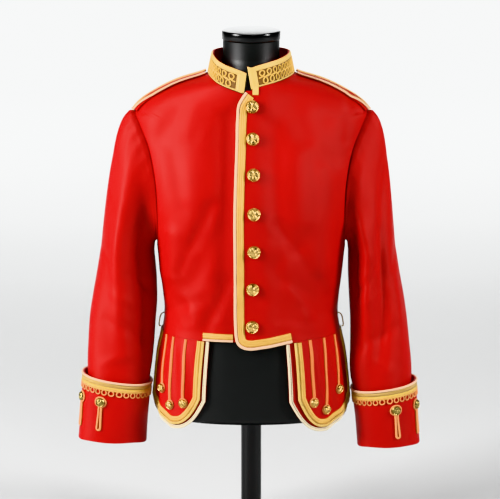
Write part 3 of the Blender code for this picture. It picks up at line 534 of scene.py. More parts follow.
def piece(name, data, material, nodes):
    """A piece of the part: it rides on the one body, in the place of its nodes."""
    data.materials.append(material)
    obj = placed(name, data)
    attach(obj, "root")
    if nodes:
        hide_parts(*nodes)
    return obj


def mesh_of(name, points, faces, material, uvs=None, stands_for=(), ends=()):
    """A mesh of four-sided faces and its many-sided ends, which rides on the part's one body."""
    data = bpy.data.meshes.new(name)
    faces = np.asarray(faces).tolist() + [list(end) for end in ends]
    data.from_pydata(np.asarray(points).reshape(-1, 3).tolist(), [], faces)
    if uvs is not None:
        layer = data.uv_layers.new(name="along")
        index = np.zeros(len(data.loops), np.int32)
        data.loops.foreach_get("vertex_index", index)
        layer.data.foreach_set("uv", np.asarray(uvs).reshape(-1, 2)[index].astype(np.float32).ravel())
    mesh = bmesh.new()
    mesh.from_mesh(data)
    bmesh.ops.recalc_face_normals(mesh, faces=mesh.faces)
    mesh.to_mesh(data)
    mesh.free()
    data.shade_smooth()
    data.set_sharp_from_angle(angle=math.radians(55))
    return piece(name, data, material, stands_for)


def wall(node, outer, inner, wrap=False, material=None, name=None):
    """A closed wall of cloth between two grids of points, rows by columns, in a node's place."""
    rows, columns = outer.shape[:2]
    near = quads(rows, columns, wrap)
    under = near[:, ::-1] + rows * columns
    rims = []
    i = np.arange(columns if wrap else columns - 1)
    k = (i + 1) % columns
    for j in (0, rows - 1):
        a, b = j * columns + i, j * columns + k
        rims.append(np.stack([a, a + rows * columns, b + rows * columns, b], -1))
    if not wrap:
        for i in (0, columns - 1):
            a = np.arange(rows - 1) * columns + i
            b = a + columns
            rims.append(np.stack([a, b, b + rows * columns, a + rows * columns], -1))
    faces = np.concatenate([near, under] + rims)
    points = np.concatenate([outer.reshape(-1, 3), inner.reshape(-1, 3)])
    name, faces = name or f"{node}_cloth", flattest(points, faces)
    return mesh_of(name, points, faces, material or WOOL, stands_for=[node])


def flattest(points, faces):
    """Each four-sided face as two triangles, cut along the diagonal that folds it least."""
    a, b, c, d = faces.T

    def facing(*corners):
        p, q, r = (points[corner] for corner in corners)
        normal = np.cross(q - p, r - p)
        return normal / (np.linalg.norm(normal, axis=1, keepdims=True) + 1e-15)

    first = (facing(a, b, c) * facing(a, c, d)).sum(axis=1)
    second = (facing(b, c, d) * facing(b, d, a)).sum(axis=1)
    keep = (first >= second)[:, None]
    one = np.where(keep, np.stack([a, b, c], -1), np.stack([b, c, d], -1))
    two = np.where(keep, np.stack([a, c, d], -1), np.stack([b, d, a], -1))
    return np.concatenate([one, two])


def fine(values, times):
    """The same run of values with more steps between them."""
    values = np.asarray(values, float)
    at = np.linspace(0, len(values) - 1, (len(values) - 1) * times + 1)
    return np.interp(at, np.arange(len(values)), values)


def half_panel(edge_of, front, low_of, neck_starts):
    """Turns from centre and heights of a front or half the back, columns by rows."""
    limit = QUARTER - SEAM_TURN
    top = ARMHOLE_MIDDLE + ARMHOLE_HALF_HEIGHT
    shoulder = fine(SHOULDER_STARTS + (ARM_START,), FINER)[:-1]
    ends = []
    for i, start in enumerate(shoulder):
        rise = (i / len(shoulder)) ** RIDGE_BEND
        ends.append((NECK_SIDE + rise * (top - NECK_SIDE), start))
    for angle in np.linspace(0.0, math.pi, AROUND // 2 * FINER + 1):
        ends.append((ARMHOLE_MIDDLE + ARMHOLE_HALF_HEIGHT * math.cos(angle), arm_column(angle)))
    ends = np.array(ends[::-1])

    def turn_of(start, height):
        last = np.interp(height, ends[:, 0], ends[:, 1])
        edge = edge_of(height)
        return edge + armhole_edge(height) * start / last * (limit - edge)

    def neck_top(start):
        low, high = front, NECK_SIDE
        for _ in range(24):
            middle = (low + high) / 2
            rise = math.sin(max(float(turn_of(start, middle)), 0.0)) ** NECK_ROUND
            if (front + (NECK_SIDE - front) * rise > middle) == (front < NECK_SIDE):
                low = middle
            else:
                high = middle
        return low

    starts = fine(neck_starts + SHOULDER_STARTS[:1], FINER)[:-1]
    columns = [(start, neck_top(start)) for start in starts]
    columns += [(start, height) for height, start in ends[::-1]]
    rows = np.linspace(0.0, 1.0, ROWS * FINER + 1)
    levels = 1 - (1 - rows) ** 1.15
    grid = np.zeros((len(columns), len(levels), 2))
    for i, (start, height) in enumerate(columns):
        now = low_of(float(turn_of(start, WAIST))) * (1 - levels) + height * levels
        grid[i] = np.stack([turn_of(start, now), now], -1)
    return grid


def armhole_edge(height):
    level = np.clip((height - ARMHOLE_MIDDLE) / ARMHOLE_HALF_HEIGHT, -1.0, 1.0)
    return 1.0 - ARMHOLE_HALF_TURN / QUARTER * np.sqrt(1.0 - level**2)


def seam_dip(turn, height):
    """The cloth dips a little where it meets the armhole, shoulder and side seams."""
    side = QUARTER - np.abs(np.abs(turn) - QUARTER * np.where(np.abs(turn) > math.pi, 3, 1))
    across = (QUARTER - side) / ARMHOLE_HALF_TURN
    up = (height - ARMHOLE_MIDDLE) / ARMHOLE_HALF_HEIGHT
    away = np.abs(np.hypot(across, up) - 1.0) * 0.11
    inside = np.exp(-((away / 0.0045) ** 2))
    seam = np.exp(-(((QUARTER - side) * 0.18 / 0.003) ** 2))
    return SEAM_DEPTH * np.maximum(inside, 0.7 * seam)


def make_panel(node, turn, height, rise):
    """A front or the back, over its grid of turns and heights."""
    rise = rise - seam_dip(turn, height)
    return wall(node, body_point(turn, height, rise), body_point(turn, height, rise - WALL))


def make_fronts():
    def over_edge(height):
        return turn_at(lap_x(height), height)

    def under_edge(height):
        return turn_at(-UNDERLAP_X + 0 * height, height)

    def over_low(turn):
        return float(hem_height(body_skin(turn, WAIST)[0]))

    turn, height = np.moveaxis(half_panel(over_edge, NECK_OVER, over_low, LAP_STARTS), -1, 0)
    left = make_panel("front_left", turn, height, lap_out(turn, height))
    turn, height = np.moveaxis(half_panel(under_edge, NECK_UNDER, lambda turn: UNDER_HEM, NECK_STARTS), -1, 0)
    return left, make_panel("front_right", -turn, height, 0.0)


def make_back():
    half = half_panel(lambda height: 0.0 * height, NECK_BACK, lambda turn: WAIST, NECK_STARTS)
    turn, height = np.moveaxis(half, -1, 0)
    turn = np.concatenate([math.pi + turn[:0:-1], math.pi - turn])
    height = np.concatenate([height[:0:-1], height])
    centre = CENTRE_SEAM * np.exp(-(((turn - math.pi) * 0.12 / CENTRE_SEAM_WIDE) ** 2))
    return make_panel("back", turn, height, -centre)


def sleeve_seam(side, angle):
    height = ARMHOLE_MIDDLE + (ARMHOLE_HALF_HEIGHT - ARMHOLE_INSET) * np.cos(angle)
    reach = ARMHOLE_HALF_TURN - ARMHOLE_INSET / SLEEVES[side][-1][2]
    turn = QUARTER - reach * np.sin(angle)
    return turn if side == "left" else -turn, height


def grid_normals(grid):
    """Outward normals of a tube's grid, rows down by columns round."""
    around = np.roll(grid, -1, 1) - np.roll(grid, 1, 1)
    return unit(np.cross(around, np.gradient(grid, axis=0)))


def tube_ring(side, angle, height):
    outer, inner, y, depth = smooth(SLEEVES[side], height)
    return oval(side, angle, (outer + inner) / 2, (outer - inner) / 2, y, depth, height, SLEEVE_TILT)


def make_sleeve(side):
    sign = SIGN[side]
    angle = turns(SLEEVE_AROUND)
    turn, height = sleeve_seam(side, angle)
    seam = body_point(turn, height, -SEAM_SINK) * [sign, 1.0, 1.0]
    first = tube_ring(side, angle, SLEEVE_TOP) * [sign, 1.0, 1.0]
    far = np.linalg.norm(first - seam, axis=1, keepdims=True)
    leave = far * np.array([CAP_OUT, 0.0, CAP_DOWN])
    arrive = far * np.array([SLEEVE_TILT, 0.0, -1.0])
    rows = []
    for j in range(CAP_FINE):
        t = (j / CAP_FINE) ** 1.25
        point = (2 * t**3 - 3 * t**2 + 1) * seam + (t**3 - 2 * t**2 + t) * leave
        point = point + (3 * t**2 - 2 * t**3) * first + (t**3 - t**2) * arrive
        bulge = CAP_BULGE * math.sin(math.pi * min(1.0, 2.2 * t)) * (1 + np.cos(angle)) / 2
        bulge = bulge + SEAM_ROLL * math.sin(math.pi * min(1.0, 9 * t)) * ease(t * 12)
        rows.append((point + bulge[:, None] * np.array([0.5, 0.0, 0.87])) * [sign, 1.0, 1.0])
    low = SLEEVES[side][0][0]
    for j in range(TUBE_FINE + 1):
        rows.append(tube_ring(side, angle, SLEEVE_TOP + (low - SLEEVE_TOP) * j / TUBE_FINE))
    rows.append(cuff_point(side, angle, SLEEVE_ENDS_AT, -CUFF_WALL - CUFF_SEAT))
    grid = np.array(rows)
    normals = grid_normals(grid) * sign
    degrees = np.degrees(angle)
    index = np.arange(len(grid))[:, None]
    from_seam = ease(index / (CAP_FINE * 0.66))
    into_cuff = ease((len(grid) - 1 - index) / 6.0)
    level = grid[..., 2]
    depth = np.zeros(level.shape)
    for around, bottom, top, half_angle, deep in SLEEVE_FOLDS:
        away = angle_from(degrees, around)
        span = ease((level - bottom) / 0.08) * ease((top - level) / 0.08)
        depth += deep * span * np.exp(-((away / half_angle) ** 2))
    for a_from, z_from, a_to, z_to, half_width, deep in SLEEVE_CREASES[side]:
        across = angle_from(degrees, a_from) * DEGREE_WIDE
        run = np.array([(a_to - a_from) * DEGREE_WIDE, z_to - z_from])
        flat = np.stack([np.broadcast_to(across, level.shape), level - z_from], -1)
        along = np.clip(flat @ run / (run @ run), 0.0, 1.0)
        away = np.linalg.norm(flat - along[..., None] * run, axis=-1)
        fade = np.sin(math.pi * np.clip(0.15 + 0.7 * along, 0, 1))
        depth += deep * fade * np.exp(-((away / half_width) ** 2))
    pucker = SEAM_PUCKER * np.cos(angle * 26) * np.exp(-(((index - 5) / 4.0) ** 2))
    pucker = pucker * ease((np.cos(angle) + 0.2) / 0.6)
    grid = grid - ((depth * from_seam - pucker) * into_cuff)[..., None] * normals
    normals = grid_normals(grid) * sign
    normals[0] = body_normal(*sleeve_seam(side, angle))
    return wall(f"sleeve_{side}", grid, grid - WALL * normals, True)


def lay(point_of, path, outs):
    """The points and outward directions of a path on a panel, at one height over it."""
    at = point_of(path[..., 0], path[..., 1], outs)
    return at, unit(point_of(path[..., 0], path[..., 1], outs + 0.001) - at)


def cord(name, path, point_of, radius, material, high=None, sides=8):
    """A cord that lies along a path on a panel: radius across it, high above it."""
    high = high or radius
    at, up = lay(point_of, path, np.full(len(path), high * 0.8))
    side = unit(np.cross(np.gradient(at, axis=0), up))
    angle = np.linspace(0, 2 * math.pi, sides + 1) - QUARTER
    ring = side[:, None] * (radius * np.cos(angle))[:, None]
    ring = at[:, None] + ring + up[:, None] * (high * np.sin(angle))[:, None]
    uvs = np.stack(np.broadcast_arrays(length_along(at)[:, None], np.linspace(0, 1, sides + 1)), -1)
    last = (len(path) - 1) * (sides + 1)
    ends = (range(sides)[::-1], range(last, last + sides))
    return mesh_of(name, ring, quads(len(path), sides + 1), material, uvs, ends=ends)


def band(name, path, start, width, high, point_of, material, ribs=3, stands_for=()):
    """A flat braid along a path, from start to start + width inside it, ribbed along."""
    v = np.linspace(0.0, 1.0, 6 * ribs + 1)
    top = high * (1 - np.abs(2 * v - 1) ** 6 * 0.7) + high * 0.13 * np.cos(2 * math.pi * v * ribs)
    across = np.concatenate([[0.0], v, [1.0]])
    outs = np.concatenate([[-0.0004], top, [-0.0004]])
    lines = np.stack([inset(path, start + width * a) for a in across], 1)
    points = point_of(lines[..., 0], lines[..., 1], np.broadcast_to(outs, lines.shape[:2]))
    length = length_along(points[:, len(across) // 2])
    uvs = np.stack(np.broadcast_arrays(length[:, None], across * width), -1)
    return mesh_of(name, points, quads(*points.shape[:2]), material, uvs, stands_for)


def spaced(path, step):
    """The path with its points about step apart, its corners kept."""
    out = []
    for a, b in zip(path, path[1:]):
        count = max(1, int(round(np.linalg.norm(np.subtract(b, a)) / step)))
        for i in range(count):
            out.append(np.add(a, np.subtract(b, a) * (i / count)))
    return np.array(out + [np.array(path[-1])])


def rounded(path, times=2):
    """The path with its corners cut."""
    path = np.array(path)
    for _ in range(times):
        first = path[:-1] * 0.75 + path[1:] * 0.25
        last = path[:-1] * 0.25 + path[1:] * 0.75
        path = np.concatenate([path[:1], np.stack([first, last], 1).reshape(-1, 2), path[-1:]])
    return path


def trim(name, path, width, point_of, node, piping=PIPING, ribs=3, cream=None, gold=None):
    """Cream piping on the edge of a panel, with gold braid inside it, in a node's place."""
    edge = inset(path, piping * PIPING_AT)
    pipe = cord(f"{name}_piping", edge, point_of, piping * 0.50, cream or CREAM, high=PIPING_HIGH, sides=10)
    start, wide = piping + TRIM_GAP, width - piping
    inside = band(f"{name}_gold", path, start, wide, BRAID_HIGH, point_of, gold or GOLD, ribs, [node])
    return [pipe, inside]


def loops(length, pitch, high, low, flip, wide, steps=20):
    """A cord's path as a row of touching loops, along and up."""
    count = max(1, int(round(length / pitch)))
    turn = np.linspace(-math.pi, math.pi * (2 * count - 1), count * steps + 1)
    along = (turn + math.pi) / (2 * math.pi) * length / count - wide * pitch * np.sin(turn) * 0.72
    middle, half = (high + low) / 2, (high - low) / 2
    return np.stack([along, middle - flip * half * np.cos(turn)], -1)


def button(node, at, normal, radius, rise, material, petals=7):
    """A domed brass button with a roped rim and a raised rosette, in a node's place."""
    rings, sides = 26, 84
    share = np.linspace(0.02, 1.0, rings)[:, None]
    angle = turns(sides)[None]
    dome = rise * (0.45 + 0.55 * np.sqrt(np.clip(1 - (share * 0.97) ** 2, 0, 1)))
    rope = np.exp(-(((share - 0.88) / 0.05) ** 2)) * (0.10 + 0.05 * np.cos(36 * angle + 20 * share))
    leaf = 0.09 * np.clip(np.cos(petals * angle) + 0.55 - share * 1.3, 0, 1) * ease((share - 0.1) / 0.2)
    heart = 0.12 * np.exp(-((share / 0.17) ** 2))
    groove = 0.06 * np.exp(-(((share - 0.76) / 0.05) ** 2))
    high = dome + radius * (0.75 * (rope + leaf + heart) - groove)
    x, y, z = np.broadcast_arrays(radius * share * np.cos(angle), radius * share * np.sin(angle), high)
    edge = [1.01 * x[-1], 1.01 * y[-1], np.full(sides, 0.25 * rise)]
    foot = [0.94 * x[-1], 0.94 * y[-1], np.full(sides, -0.0006)]
    points = np.concatenate([np.stack([x, y, z], -1), [np.stack(edge, -1)], [np.stack(foot, -1)]])
    rotation = np.array(Vector(normal).to_track_quat("Z", "Y").to_matrix())
    points = points.reshape(-1, 3) @ rotation.T + np.array(at)
    faces = quads(rings + 2, sides, True)
    return mesh_of(f"{node}_brass", points, faces, material, None, [node], [range(sides)])


def ringed_button(node, x, y, point_of, sizes, material):
    """A button on a panel, with a ring of cord round its foot."""
    radius, rise, ring_radius, thread = sizes
    base = point_of(x, np.asarray(y), BUTTON_SEAT)
    button(node, base, point_of(x, np.asarray(y), 0.003) - base, radius, rise, material)
    bend = np.linspace(0, 2 * math.pi, 33)
    ring = np.stack([x + ring_radius * np.cos(bend), y + ring_radius * np.sin(bend)], -1)
    return cord(f"{node}_ring", ring, point_of, thread, PEACH_CORD)


def front_trim_point(x, height, out):
    turn = turn_at(x, height)
    return body_point(turn, height, lap_out(turn, height) + out)


def make_front_trims():
    heights = np.linspace(NECK_OVER - 0.002, HEM[0][1], 60)
    edge = [(float(lap_x(height)), height) for height in heights]
    hem = [(x, float(hem_height(x))) for x in (-0.0310, -0.0250, -0.0150, 0.0, 0.02, 0.04, 0.06, 0.079)]
    path = spaced(rounded(edge[:-4] + hem, 2), 0.004)
    made = trim("front_edge", path, FRONT_TRIM, front_trim_point, "front_braid_left", FRONT_PIPING, 4)

    def point_of(x, height, out):
        return body_point(turn_at(x, height), height, out)

    path = spaced([(-0.0925, UNDER_HEM), (-0.0350, UNDER_HEM)], 0.003)
    made += trim("hem_right", path, RIGHT_HEM_TRIM, point_of, "hem_braid_right")
    tab = spaced([(0.0025, 0.9135), (0.0135, 0.9135)], 0.002)
    made.append(band("collar_tab_gold", tab, 0.0, 0.0150, 0.0022, front_trim_point, PALE_GOLD, 2))
    for index, (x, height) in enumerate(zip(BUTTON_X, BUTTON_HEIGHTS)):
        low = TOP_BUTTON_LOW if index == 0 else BUTTON_LOW
        at = front_trim_point(x, height, low)
        normal = body_normal(turn_at(x, height), np.asarray(height))
        button(f"front_button_{index + 1}", at, normal, *BUTTON, BRASS)
    return made


def cuff_dents(turn, share):
    """How far a cuff's cloth stands out of its plain shape, with its dents as troughs."""
    out = 0.0006 * np.sin(3 * turn + 5 * share) * share
    for place, down, half_angle, deep in CUFF_DENTS:
        away = angle_from(np.degrees(turn), place)
        out = out - deep * np.exp(-((away / half_angle) ** 2) - ((share - down) / 0.32) ** 2)
    return out


def make_cuff(side):
    angle = turns(SLEEVE_AROUND)[None]
    share = np.linspace(0.0, 1.0, 37)[:, None]
    dent = cuff_dents(angle, share)
    wavy = share + (0.010 * np.sin(2 * angle + 0.6) + 0.006 * np.sin(5 * angle)) * share**4
    outer = cuff_point(side, angle, wavy, dent)
    cloth = wall(f"cuff_{side}", outer, cuff_point(side, angle, wavy, dent - CUFF_WALL), True)
    deep = CUFFS[side][0] - CUFFS[side][1]
    around = 2 * math.pi * CUFF_SCALE

    def point_of(a, down, out):
        turn, part = a / CUFF_SCALE, np.asarray(down) / deep
        return cuff_point(side, turn, part, cuff_dents(turn, part) + out)

    def level(down):
        return np.stack([np.linspace(0.0, around, 181), np.full(181, down)], -1)

    def braid_at(name, down, high, gold, ribs, nodes=()):
        return band(f"{name}_{side}", level(down), 0.0, CUFF_BRAID, high, point_of, gold, ribs, nodes)

    made = [cord(f"cuff_piping_{side}", level(CUFF_PIPING_AT), point_of, 0.0020, CREAM, sides=10)]
    made.append(braid_at("cuff_gold", CUFF_TOP_BRAID_AT, CUFF_TOP_HIGH, DULL_GOLD, 2, [f"cuff_braid_{side}"]))
    made.append(braid_at("cuff_gold_low", CUFF_LOW_BRAID_AT, CUFF_LOW_HIGH, BRIGHT_GOLD, 3))
    path = loops(around, around / PICOTS, PICOT_FROM, PICOT_TO, 1.0, PICOT_WIDE, 22)
    made.append(cord(f"cuff_picots_{side}", path, point_of, PICOT_CORD, PEACH_CORD))
    half, length = LOOP_HALF, LOOP_LENGTH
    down = [(half * 0.8, 0.009), (half * 0.75, 0.022), (half, 0.040), (half * 1.15, length - 0.006)]
    bend = np.linspace(0.2, math.pi - 0.2, 7)
    foot = [(half * 1.1 * math.cos(b), length - 0.0035 + 0.003 * math.sin(b)) for b in bend]
    loop = rounded(down + foot + [(-x, y) for x, y in down[::-1]], 2)
    for index, place in enumerate(CUFF_BUTTONS[side]):
        x = math.radians(place) * CUFF_SCALE
        node = f"cuff_button_{side}_{index + 1}"
        made.append(ringed_button(node, x, CUFF_BUTTON_DOWN, point_of, CUFF_BUTTON, DARK_BRASS))
        made.append(cord(f"{node}_loop", loop + [x, CUFF_BUTTON_DOWN], point_of, LOOP_THREAD, PEACH_CORD))
    return cloth, made


def collar_point(place, share, out):
    """The collar's outer face: place 0 at its right front edge, 1 at its left one."""
    place, share = np.broadcast_arrays(np.asarray(place, float), np.asarray(share, float))
    right, left = COLLAR_FRONTS
    first = turn_at(right[0] + (right[1] - right[0]) * share, np.full(share.shape, NECK_UNDER))
    last = turn_at(left[0] + (left[1] - left[0]) * share, np.full(share.shape, NECK_OVER))
    turn = first + (last - 2 * math.pi - first) * place
    front = np.where(turn > -math.pi, NECK_UNDER, NECK_OVER)
    start = np.where(np.cos(turn) > 0, front, NECK_BACK)
    neck = start + (NECK_SIDE - start) * np.abs(np.sin(turn)) ** NECK_ROUND
    flat = unit(body_normal(turn, np.full(share.shape, NECK_UNDER - 0.05)) * [1.0, 1.0, 0.0])
    point = body_skin(turn, neck) + flat * (out - COLLAR_LEAN * share)[..., None]
    point[..., 2] += COLLAR_LIFT + COLLAR_RISE * share
    return point


def make_collar():
    places = np.linspace(0.0, 1.0, 241)[None]
    shares = np.linspace(0.0, 1.0, 17)[:, None]
    outer = collar_point(places, shares, 0.0 * shares)
    cloth = wall("collar", outer, collar_point(places, shares, 0.0 * shares - COLLAR_WALL))
    around = 2 * math.pi * COLLAR_ROUND

    def point_of(a, up, out):
        return collar_point(a / around, up / COLLAR_RISE, np.asarray(out))

    # The gold lace ground under the loops, its gold darkened to brown as painted shade between the loops.
    across = np.linspace(0.003, around - 0.003, 241)
    across, up = np.meshgrid(across, np.linspace(0.002, COLLAR_RISE - 0.004, 9))
    points = point_of(across, up, np.full(across.shape, 0.0004))
    uvs = np.stack([across, up], -1)
    made = [mesh_of("collar_ground", points, quads(*across.shape), LACE_GOLD_PAINTED_SHADE, uvs)]
    rise, low, lace = COLLAR_RISE, COLLAR_BRAID_LOW, COLLAR_LACE_FROM
    path = spaced([(around, low), (around, rise), (0.0, rise), (0.0, low)], 0.003)
    edge = ["collar_braid"]
    made.append(band("collar_gold", path, 0.0, COLLAR_BRAID, 0.0019, point_of, PALE_GOLD, 3, edge))
    line = np.linspace(0.002, around - 0.002, 181)
    made.append(cord("collar_low_cord", np.stack([line, 0 * line + 0.0016], -1), point_of, 0.0015, PALE_GOLD))
    long, shift = around - 2 * lace, 0.3 * LOOP_PITCH
    upper = loops(long, LOOP_PITCH, rise - 0.0108, 0.0162, -1.0, LOOP_WIDE) + [lace, 0.0]
    lower = loops(long - 2 * shift, LOOP_PITCH, 0.0180, 0.0040, 1.0, LOOP_WIDE) + [lace + shift, 0.0]
    for name, path in (("upper", upper), ("lower", lower)):
        made.append(cord(f"collar_loops_{name}", path, point_of, LOOP_CORD, LOOP_GOLD, sides=7))
    return cloth, made


def flap_top(side, turn):
    if side == "left":
        front = hem_height(body_skin(turn, np.full(turn.shape, WAIST))[..., 0]) - FLAP_HANG
    else:
        front = np.full(turn.shape, UNDER_HEM - FLAP_HANG)
    return np.where(turn < QUARTER, front, WAIST - FLAP_HANG)


def flap_low(shape, turn):
    inner, outer, tip, tip_height, corner_height, inner_height = shape
    degrees = np.degrees(turn)
    beyond = tip_height + (corner_height - tip_height) * (degrees - tip) / (outer - tip)
    near = np.clip((degrees - inner) / (tip - inner), 0.0, 1.0)
    before = tip_height + (inner_height - tip_height) * (1 - near) ** FLAP_ROUND
    return np.where((degrees - tip) * (outer - tip) > 0, beyond, before)


def make_flap(name):
    shape = FLAPS[name]
    side, kind = name.split("_")
    sign = SIGN[side]
    inner, outer, tip = (math.radians(degrees) for degrees in shape[:3])
    near = inner + (tip - inner) * np.linspace(0, 1, 34) ** 1.2
    turns = np.concatenate([near, np.linspace(tip, outer, 30)[1:]])
    top, low = flap_top(side, turns), flap_low(shape, turns)
    down = np.linspace(0, 1, 50)[None]
    height = top[:, None] + (low - top)[:, None] * down
    turn = sign * np.broadcast_to(turns[:, None], height.shape)
    deeper = UNDER_DEEPER if kind == "under" else 0.0

    def wave(turn, height):
        fall = ease((WAIST - height) / 0.12)
        return FLAP_WAVE * fall * np.sin(turn * 9 + height * 14) * (1.0 if kind != "under" else 0.4)

    rise = wave(turn, height) - deeper
    outside, inside = body_point(turn, height, rise), body_point(turn, height, rise - WALL)
    cloth = wall(f"flap_{name}", outside, inside, material=DARK_WOOL if kind == "under" else WOOL)

    def point_of(across, height, out):
        turn = sign * across / FLAP_SCALE
        return body_point(turn, height, wave(turn, height) - deeper + out)

    edge = [(inner * FLAP_SCALE, h) for h in np.linspace(float(top[0]) - 0.001, float(low[0]), 40)]
    path = edge + [(t * FLAP_SCALE, float(h)) for t, h in zip(turns[1:], low[1:])]
    if kind != "under":
        path += [(outer * FLAP_SCALE, h) for h in np.linspace(float(low[-1]), float(top[-1]) - 0.001, 36)[1:]]
    path = spaced(path, 0.004)
    if kind == "back":
        path = path[::-1]
    looks = (FLAP_PIPING, 3, PALE_GOLD, GOLD) if kind != "under" else (UNDER_PIPING, 1, IVORY, IVORY)
    width = FLAP_TRIM if kind != "under" else UNDER_TRIM
    made = trim(f"flap_edge_{name}", path, width, point_of, f"flap_braid_{name}", *looks)
    if kind != "upper":
        return cloth, made
    for number, (at_top, at_button, low_end) in enumerate(BARS[side]):
        bar = f"flap_bar_{side}_{number + 1}"
        run = []
        for t in np.linspace(0.0, 1.0, 40):
            across = at_top + (at_button - at_top) * t
            turn = inner + across * (outer - inner)
            start = float(flap_top(side, np.array([turn]))[0]) - 0.001
            shift = 0.0006 * math.sin(9 * t + number)
            run.append((turn * FLAP_SCALE - BAR_WIDTH / 2 + shift, start + (low_end - start) * t))
        run = np.array(run)
        made.append(band(f"{bar}_braid", run, 0.0, BAR_WIDTH, 0.0022, point_of, PEACH, 2, ()))
        x = (inner + at_button * (outer - inner)) * FLAP_SCALE
        made.append(ringed_button(bar, x, low_end, point_of, FLAP_BUTTON, BRASS))
    return cloth, made


def strap_point(side, x, part, out):
    """A point of a shoulder strap: x along the shoulder, part -1 to 1 from front to back."""
    sign = SIGN[side]
    rows = [row for row in BODY if 0.868 <= row[0] <= 0.943]
    height = np.interp(-x, [-row[1] for row in rows], [row[0] for row in rows])
    _, front, back, power = np.moveaxis(smooth(BODY, height), -1, 0)
    t = (x - STRAP_NECK_X) / (STRAP_END_X - STRAP_NECK_X)
    y = part * (STRAP_NECK_HALF + (STRAP_END_HALF - STRAP_NECK_HALF) * t)
    lean = np.arcsin(np.clip(np.abs(y) / np.where(y < 0, front, back), 0, 1) ** (power / 2))
    return body_point(sign * (QUARTER + np.sign(y) * lean), height, out)


def make_strap(side):
    x, part = np.meshgrid(np.linspace(STRAP_NECK_X, STRAP_END_X, 60), np.linspace(-1, 1, 21), indexing="ij")
    arch = 0.0010 * (1 - part**2)
    top, under = strap_point(side, x, part, STRAP_FACE + arch), strap_point(side, x, part, STRAP_SEAT + arch)
    cloth = wall(f"shoulder_strap_{side}", top, under, name=f"strap_{side}_cloth")
    half = STRAP_HALF

    def point_of(a, b, out):
        return strap_point(side, a, b / half, STRAP_FACE + 0.0010 * (1 - (b / half) ** 2) + out)

    path = [(STRAP_NECK_X, -half), (STRAP_END_X, -half), (STRAP_END_X, half), (STRAP_NECK_X, half)]
    path = spaced(rounded(path, 1), 0.003)
    made = [band(f"strap_gold_{side}", path, 0.0, STRAP_BRAID, 0.0016, point_of, GOLD, 2)]
    made.append(cord(f"strap_piping_{side}", inset(path, -0.0004), point_of, 0.0019, CREAM))
    return cloth, made


def make_hook(side):
    sign = SIGN[side]
    table = rounded(HOOK, 3)
    points = []
    for off, height in table:
        at = body_point(QUARTER * 0.96, height, off + HOOK_WIRE)
        points.append((sign * at[0], at[1], at[2]))
    curve = bpy.data.curves.new(f"hook_{side}_wire", "CURVE")
    curve.dimensions = "3D"
    curve.bevel_depth = HOOK_WIRE
    curve.bevel_resolution = 4
    curve.use_fill_caps = True
    line = curve.splines.new("POLY")
    line.points.add(len(points) - 1)
    for spot, at in zip(line.points, points):
        spot.co = (*at, 1.0)
    piece(f"hook_{side}_wire", curve, BRASS, [f"belt_hook_{side}"])


def lathe(name, profile, stands_for, y=0.0, sides=128):
    """A profile of (radius, height) from top to bottom, turned about Z."""
    profile = np.array(profile)
    angle = turns(sides)
    radius, height = profile[:, :1], profile[:, 1:]
    grid = np.stack(np.broadcast_arrays(radius * np.cos(angle), y + radius * np.sin(angle), height), -1)
    last = (len(profile) - 1) * sides
    ends = (range(sides), range(last, last + sides))
    return mesh_of(name, grid, quads(len(profile), sides, True), GLOSS, None, stands_for, ends)


def edge_round(radius, height, bend):
    """The points of a rounded edge from a flat top to an upright side."""
    turn = np.linspace(0.0, QUARTER, 6)
    return [(radius - bend * (1 - math.sin(t)), height - bend * (1 - math.cos(t))) for t in turn]


def make_form():
    sides = 112
    angle = turns(sides)
    rings = []
    for height in fine(FORM_HEIGHTS, 4):
        ridge = ease((height - 0.860) / 0.03) * np.abs(np.sin(angle)) ** 16
        gap = FORM_GAP + (FORM_SEAT - FORM_GAP) * ridge + 0.006 * (1 - ease((height - 0.270) / 0.006))
        level = np.full(sides, height)
        ring = body_skin(angle, level) - gap[:, None] * body_normal(angle, level)
        ring[:, 2] = ring[:, 2] + (height - ring[:, 2]) * (1 - ease((height - 0.276) / 0.03))
        rings.append(ring)
    first = rings[-1]
    neck = np.array(FORM_NECK)
    for t in np.linspace(0, 1, 5)[1:-1]:
        rings.append(first + (ring_point(angle, np.full(sides, FORM_NECK[0][0]), FORM_NECK) - first) * t)
    for height in np.concatenate([np.linspace(neck[0, 0], 0.975, 14), [neck[-1, 0]]]):
        rings.append(ring_point(angle, np.full(sides, height), FORM_NECK))
    count = len(rings)
    ends = (range(sides), range((count - 1) * sides, count * sides))
    faces = quads(count, sides, True)
    mesh_of("form_body", np.array(rings), faces, FORM_CLOTH, None, ["form_torso"], ends)
    top = [(AXIS_FLAT, CAP_TOP)] + edge_round(CAP_RADIUS, CAP_TOP, CAP_BEND)
    low = [(CAP_RADIUS, CAP_BOTTOM + 0.002), (CAP_RADIUS - 0.002, CAP_BOTTOM), (AXIS_FLAT, CAP_BOTTOM)]
    lathe("form_cap_gloss", top + low, ["form_cap"], NECK_Y)
    profile = [(AXIS_FLAT, POLE_TOP), (POLE_RADIUS, POLE_TOP)]
    profile += [(POLE_RADIUS, POLE_BOTTOM), (AXIS_FLAT, POLE_BOTTOM)]
    lathe("form_pole_gloss", profile, ["form_pole"])
    profile = [(AXIS_FLAT, BASE_HEIGHT)] + edge_round(BASE_RADIUS, BASE_HEIGHT, BASE_BEND)
    lathe("form_base_gloss", profile + [(BASE_RADIUS, 0.0), (AXIS_FLAT, 0.0)], ["form_base"])


